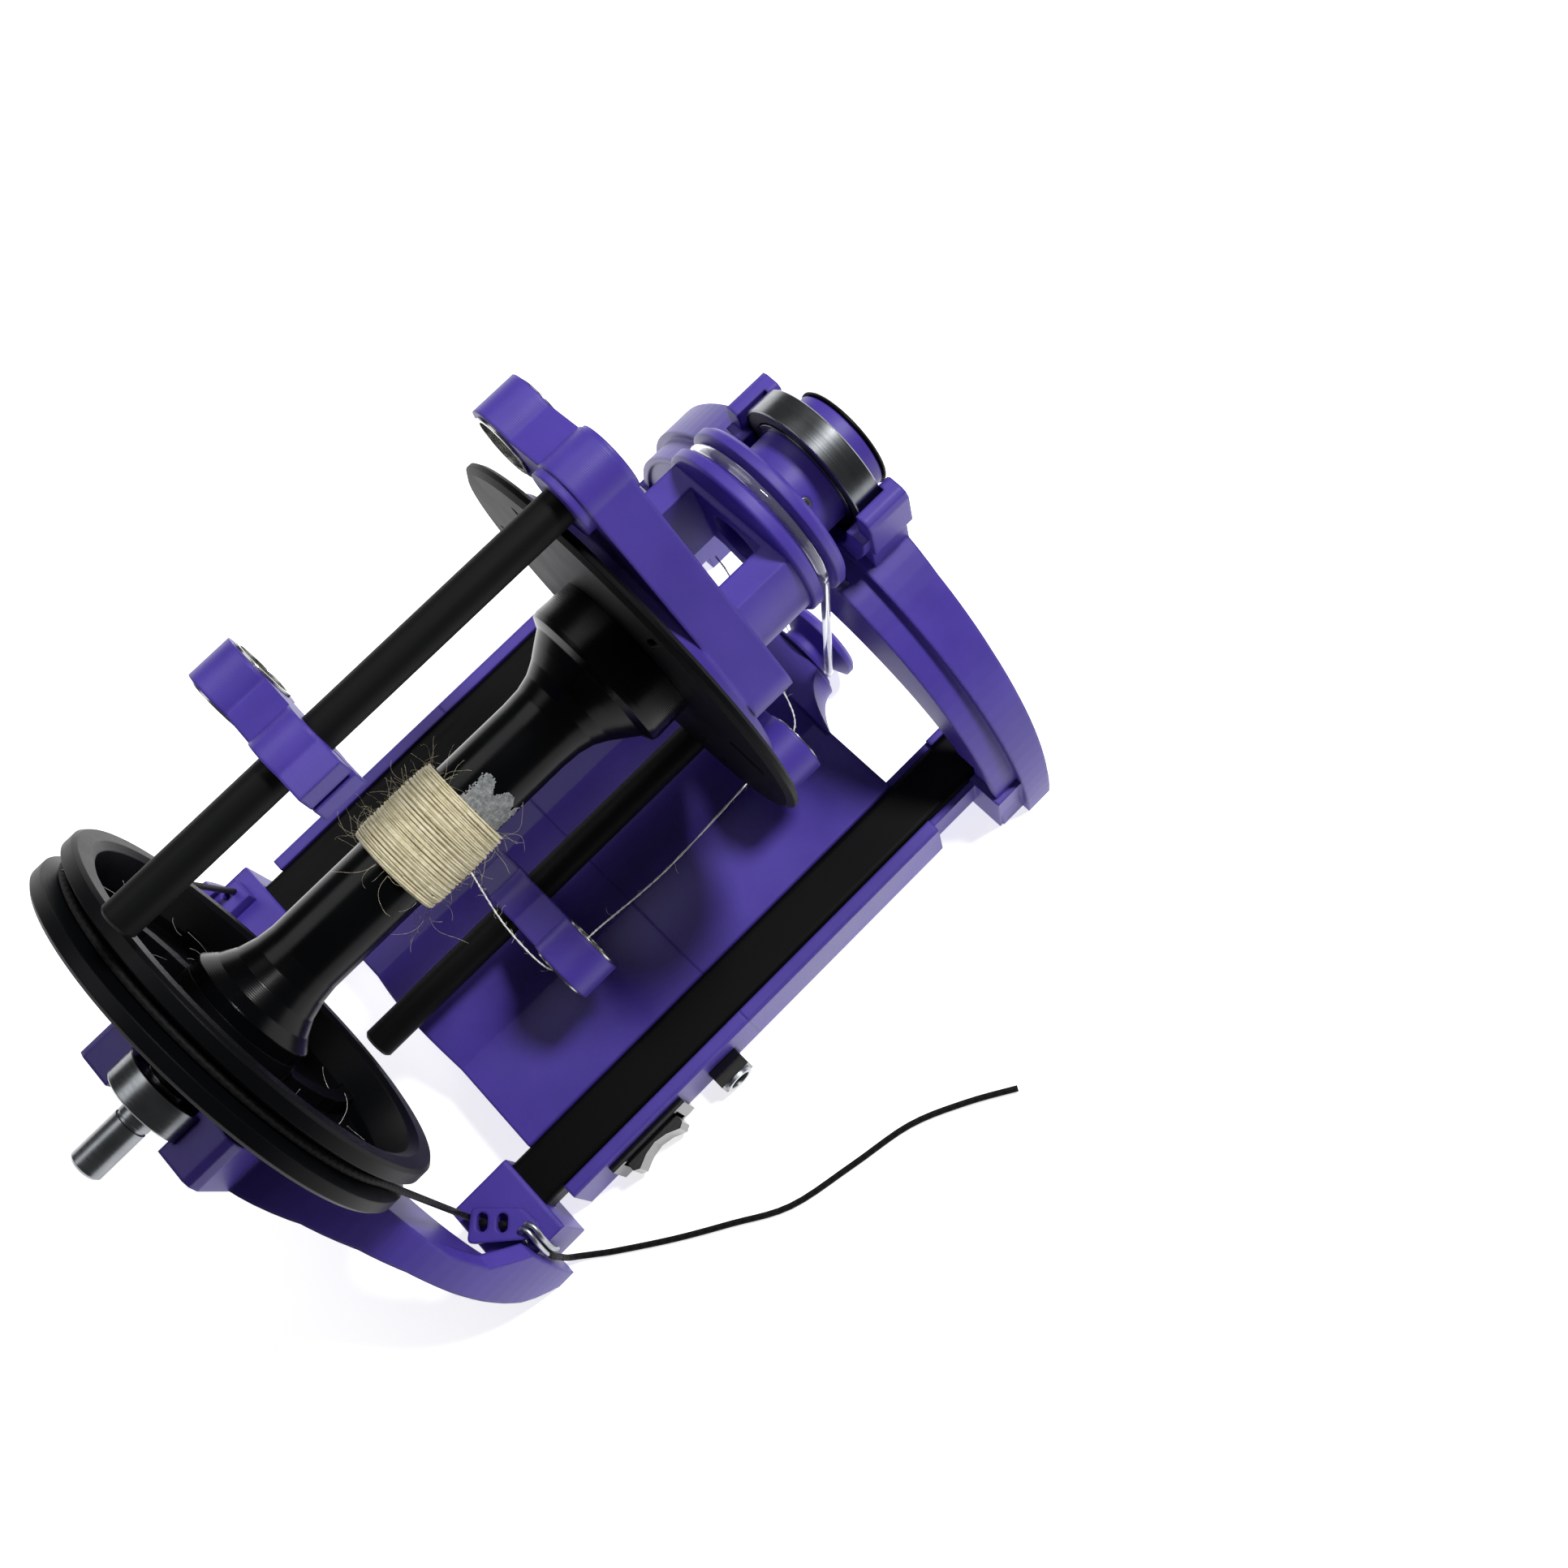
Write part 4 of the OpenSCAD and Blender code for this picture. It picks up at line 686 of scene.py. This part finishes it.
def helix(bm, y0, y1, radius, turns, phase):
    """One layer of yarn. Each turn drifts along the core and swells a little."""
    line = []
    steps = turns * lap_steps
    drift = [random.uniform(-drift_mm, drift_mm) for _ in range(turns + 2)]
    for i in range(steps + 1):
        t = i / steps
        lap = i / lap_steps
        wander = drift[int(lap)] * (1 - lap % 1) + drift[int(lap) + 1] * (lap % 1)
        turn = 2 * math.pi * lap + phase
        r = radius + swell_mm * math.sin(3.7 * lap + phase) * math.cos(turn * 2)
        line.append(Vector((r * math.cos(turn), y0 + (y1 - y0) * t + wander,
                            axis_z + r * math.sin(turn))) * MM)
    add_tube(bm, line, yarn_thick / 2 * MM, yarn_sides)


def windings(bm):
    """All layers, from the inside out."""
    for y0, y1, depth, turns, phase in pack_layers:
        helix(bm, y0, y1, pack_r - depth, turns, phase)


wound = mesh_piece("yarn_windings", windings)
wound.data.materials.append(wool)
bpy.ops.object.select_all(action="DESELECT")
pad_under = 0.8
pad_short = 0.6
bpy.ops.mesh.primitive_cylinder_add(vertices=72, radius=(pack_r - pad_under) * MM,
                                    depth=(pack_y[1] - pack_y[0] - pad_short) * MM,
                                    location=(0, sum(pack_y) / 2 * MM, axis_z * MM),
                                    rotation=(math.pi / 2, 0, 0))
pad = bpy.context.object
pad.name = pad.data.name = "yarn_pad"
bpy.ops.object.transform_apply(location=True, rotation=True, scale=True)
bevel = pad.modifiers.new("round ends", "BEVEL")
bevel.width = 0.9 * MM
bevel.segments = 4
bpy.ops.object.modifier_apply(modifier=bevel.name)
bpy.ops.object.shade_smooth()
pad.data.materials.append(wool)
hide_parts("wound_yarn")
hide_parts("wound_yarn")
for piece in (wound, pad):
    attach(piece, "bobbin")

# %% [markdown]
# ## Fuzz
# Handspun wool is hairy. Loose fibres stand off the windings, curl and cross, and a few long ones
# trail away. Each is a very thin tube of three sides along a random walk that starts on the yarn,
# with a fixed seed, so that every run grows the same hair. Real fibres are 0.03 mm thick; these
# are about twice that, or they would vanish.

# %% fuzz
hair_steps = 9
hair_sides = 3
short_hairs = 260
long_hairs = 34


def any_way():
    """A vector of three random numbers from -1 to 1."""
    return Vector([random.uniform(-1, 1) for _ in range(3)])


def fibre(bm, start, heading, length, curl, radius):
    """One curly hair from start. Its bend changes slowly, so that it curls and doesn't shake."""
    line = [Vector(start)]
    way = Vector(heading).normalized()
    bend = any_way()
    for _ in range(hair_steps):
        bend = (bend + any_way() * 0.7).normalized()
        way = (way + bend * curl).normalized()
        line.append(line[-1] + way * length / hair_steps)
    add_tube(bm, [p * MM for p in line], radius * MM, hair_sides)


def package_fuzz(bm):
    """Short hairs all round the windings, then longer ones at their two ends."""
    for _ in range(short_hairs):
        turn = random.uniform(0, 2 * math.pi)
        out = Vector((math.cos(turn), 0, math.sin(turn)))
        along = Vector((-math.sin(turn), random.uniform(-0.6, 0.6), math.cos(turn)))
        y = random.uniform(pack_y[0], pack_y[1])
        start = out * (pack_r - 0.3) + Vector((0, y, axis_z))
        heading = out * random.uniform(0.15, 1.0) + along * random.choice((-1, 1))
        fibre(bm, start, heading, random.uniform(2.5, 8), 0.35, random.uniform(0.02, 0.035))
    for _ in range(long_hairs):
        turn = random.uniform(0, 2 * math.pi)
        out = Vector((math.cos(turn), 0, math.sin(turn)))
        side = random.choice((0, 1))
        start = out * (pack_r - 0.5) + Vector((0, pack_y[side], axis_z))
        heading = out * 0.5 + Vector((0, 1 if side else -1, 0)) * random.uniform(0.3, 1.2)
        fibre(bm, start, heading, random.uniform(6, 13), 0.3, 0.028)


fuzz = mesh_piece("yarn_fuzz", package_fuzz)
fuzz.data.materials.append(wool)
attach(fuzz, "bobbin")

# %% [markdown]
# ## The yarn on its way
# From the windings the yarn goes down through the lower guide's eyelet, forward through the ring on
# the flyer's arm, and ends loose in the window behind the orifice. Two plies are twisted together.

# %% yarn strand
strand_points = [(-12.0, 12, 88), (-18.3, 16, 67), (-24.1, 17, 44), (-25.1, 11, 42.9),
                 (-25.1, 3, 43.4), (-26.1, -19, 41.9), (-25.1, -49, 42.9), (-25.1, -57.2, 43.5),
                 (-23.1, -65.5, 48), (-6, -70.5, 66), (-1.5, -73.5, 81), (-1, -72.5, 94)]
strand_line = smooth([Vector(p) * MM for p in strand_points], 14)
ply_turn = 2.6
ply_off = 0.12
ply_r = 0.15
ply_sides = 6
strand_hairs = 60


def plies(bm):
    """Two plies half a turn apart round the strand's line, and its hairs."""
    ahead, sides = frames_along(strand_line, False)
    for start in (0.0, math.pi):
        run = 0.0
        ply = []
        for i, p in enumerate(strand_line):
            if i:
                run += (p - strand_line[i - 1]).length
            turn = start + 2 * math.pi * run / (ply_turn * MM)
            ply.append(p + ply_off * MM * (math.cos(turn) * sides[i]
                                           + math.sin(turn) * ahead[i].cross(sides[i])))
        add_tube(bm, ply, ply_r * MM, ply_sides)
    for _ in range(strand_hairs):
        at = random.choice(strand_line[4:-4]) / MM
        fibre(bm, at, any_way(), random.uniform(1.5, 4), 0.5, 0.02)


strand = mesh_piece("yarn_plies", plies)
# The strand takes the nearly white wool, a painted highlight.
strand.data.materials.append(wool_painted_highlight)
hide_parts("yarn_strand")
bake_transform(strand)
print("strand is", round(length_of(strand_line) / MM), "mm long")

# %% [markdown]
# ## The paper leader
# A torn scrap of grey paper peeps out from under the first turns. It starts as a flat grid, is bent
# round the core by moving its points, and gets the thickness of paper from a Solidify modifier.
# Before it is bent it loses random squares along its edges and two deep bites, so that it looks
# torn.

# %% paper leader
paper, paper_tree, paper_shader = new_material("grey_paper_torn", Roughness=0.95)
paper_place = add(paper_tree, "ShaderNodeTexCoord").outputs["Object"]
paper_fibres = add(paper_tree, "ShaderNodeTexNoise", {"Scale": per_mm(0.9), "Detail": 8.0,
                                                      "Roughness": 0.75}, {"Vector": paper_place})
paper_colour = ramp(paper_tree, paper_fibres.outputs["Fac"],
                    [(0.3, "#4d5052"), (0.5, "#777a7b"), (0.72, "#a3a5a3")])
paper_bump = add(paper_tree, "ShaderNodeBump", {"Strength": 0.8, "Distance": 0.15 * MM},
                 {"Height": paper_fibres.outputs["Fac"]})
paper_tree.links.new(paper_colour, paper_shader.inputs["Base Color"])
paper_tree.links.new(paper_bump.outputs[0], paper_shader.inputs["Normal"])

leader_middle = 146
leader_sweep = 84
leader_wide = 8.6
leader_y = -1.6


def middle(face):
    """The middle of a face, worked out afresh."""
    return face.calc_center_median()


bpy.ops.object.select_all(action="DESELECT")
bpy.ops.mesh.primitive_grid_add(x_subdivisions=44, y_subdivisions=26, size=1, location=(0, 0, 0))
leader = bpy.context.object
leader.name = leader.data.name = "paper_leader"
bm = bmesh.new()
bm.from_mesh(leader.data)
torn = [f for f in bm.faces
        if (0.5 - max(abs(middle(f).x), abs(middle(f).y))) < random.random() * 0.07]
torn += [f for f in bm.faces
         if middle(f).y < -0.1 - 0.36 * abs(math.sin(7 * middle(f).x + 1)) - 0.05 * random.random()]
bmesh.ops.delete(bm, geom=list(set(torn)), context="FACES")
for v in bm.verts:
    turn = math.radians(leader_middle + leader_sweep * v.co.x)
    lift = core_r + 0.3 + 0.16 * math.sin(19 * v.co.x) * math.cos(11 * v.co.y)
    v.co = Vector((lift * math.cos(turn), leader_y + leader_wide * v.co.y,
                   axis_z + lift * math.sin(turn))) * MM
bm.to_mesh(leader.data)
bm.free()
thick = leader.modifiers.new("thickness", "SOLIDIFY")
thick.thickness = 0.14 * MM
thick.offset = 0.0
bpy.ops.object.modifier_apply(modifier=thick.name)
bpy.ops.object.shade_smooth()
leader.data.materials.append(paper)
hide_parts("yarn_leader")
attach(leader, "bobbin")
print("paper leader has", len(leader.data.polygons), "faces")

# %% [markdown]
# ## Stray fibres on the bobbin
# Wool dust settles on everything near a spinning wheel. A few long hairs lie over the ribs and the
# thin disc of the bobbin's pulley, most of them along the way it turns.

# %% stray fibres


def stray(bm):
    """Hairs at changing heights over the disc, then a few along the ribs' edges."""
    for _ in range(26):
        turn = random.uniform(0, 2 * math.pi)
        r = random.uniform(19, 42)
        start = Vector((r * math.cos(turn), 71.6 - random.uniform(0, 3.5),
                        axis_z + r * math.sin(turn)))
        heading = (-math.sin(turn), random.uniform(-0.1, 0.1), math.cos(turn))
        fibre(bm, start, heading, random.uniform(5, 16), 0.25, 0.035)
    for _ in range(14):
        turn = random.uniform(0, 2 * math.pi)
        r = random.uniform(20, 46)
        start = Vector((r * math.cos(turn), 67.8, axis_z + r * math.sin(turn)))
        heading = (-math.sin(turn), random.uniform(-0.05, 0.05), math.cos(turn))
        fibre(bm, start, heading, random.uniform(4, 11), 0.2, 0.035)


strays = mesh_piece("stray_fibres", stray)
# The stray fibres take the nearly white wool, a painted highlight.
strays.data.materials.append(wool_painted_highlight)
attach(strays, "bobbin")

# %% [markdown]
# ## Table and light
# The wheel lies on a white table that glows a little, so that shadows on it stay faint. A small
# lamp high in front of the orifice gives the streaks of light and the shadow. A larger and weaker
# one on the side away from the switch fills, and a dim even surround does the rest, so that black
# parts keep soft grey edges.

# %% floor, lights and surround
bpy.ops.object.select_all(action="DESELECT")
bpy.ops.mesh.primitive_plane_add(size=6, location=(0, 0, -0.0002))
floor = bpy.context.object
floor.name = "table_top"
white = (1.0, 1.0, 1.0, 1.0)
floor_white = new_material("white_table", Base_Color=(0.92, 0.92, 0.92, 1.0), Roughness=0.8,
                           Emission_Color=white, Emission_Strength=0.75)[0]
floor.data.materials.append(floor_white)


def soft_lamp(name, place, size, power):
    """A round area lamp aimed at the middle of the wheel."""
    data = bpy.data.lights.new(name, "AREA")
    data.shape = "DISK"
    data.size = size
    data.energy = power
    lamp = bpy.data.objects.new(name, data)
    bpy.context.scene.collection.objects.link(lamp)
    lamp.location = place
    aim = lamp_target - Vector(place)
    lamp.rotation_euler = aim.to_track_quat("-Z", "Y").to_euler()
    print(name, "lamp of", power, "W,", size, "m across")


lamp_target = Vector((0, 0, 0.05))
soft_lamp("key", (-0.15, -0.75, 1.2), size=0.3, power=19)
soft_lamp("top", (0.6, 0.1, 1.1), size=0.8, power=4)
world = bpy.data.worlds.new("studio")
bpy.context.scene.world = world
world.use_nodes = True
surround = world.node_tree.nodes["Background"]
surround.inputs["Color"].default_value = white
surround.inputs["Strength"].default_value = 0.08
bpy.context.scene.view_settings.view_transform = "Standard"
bpy.context.scene.view_settings.look = "None"
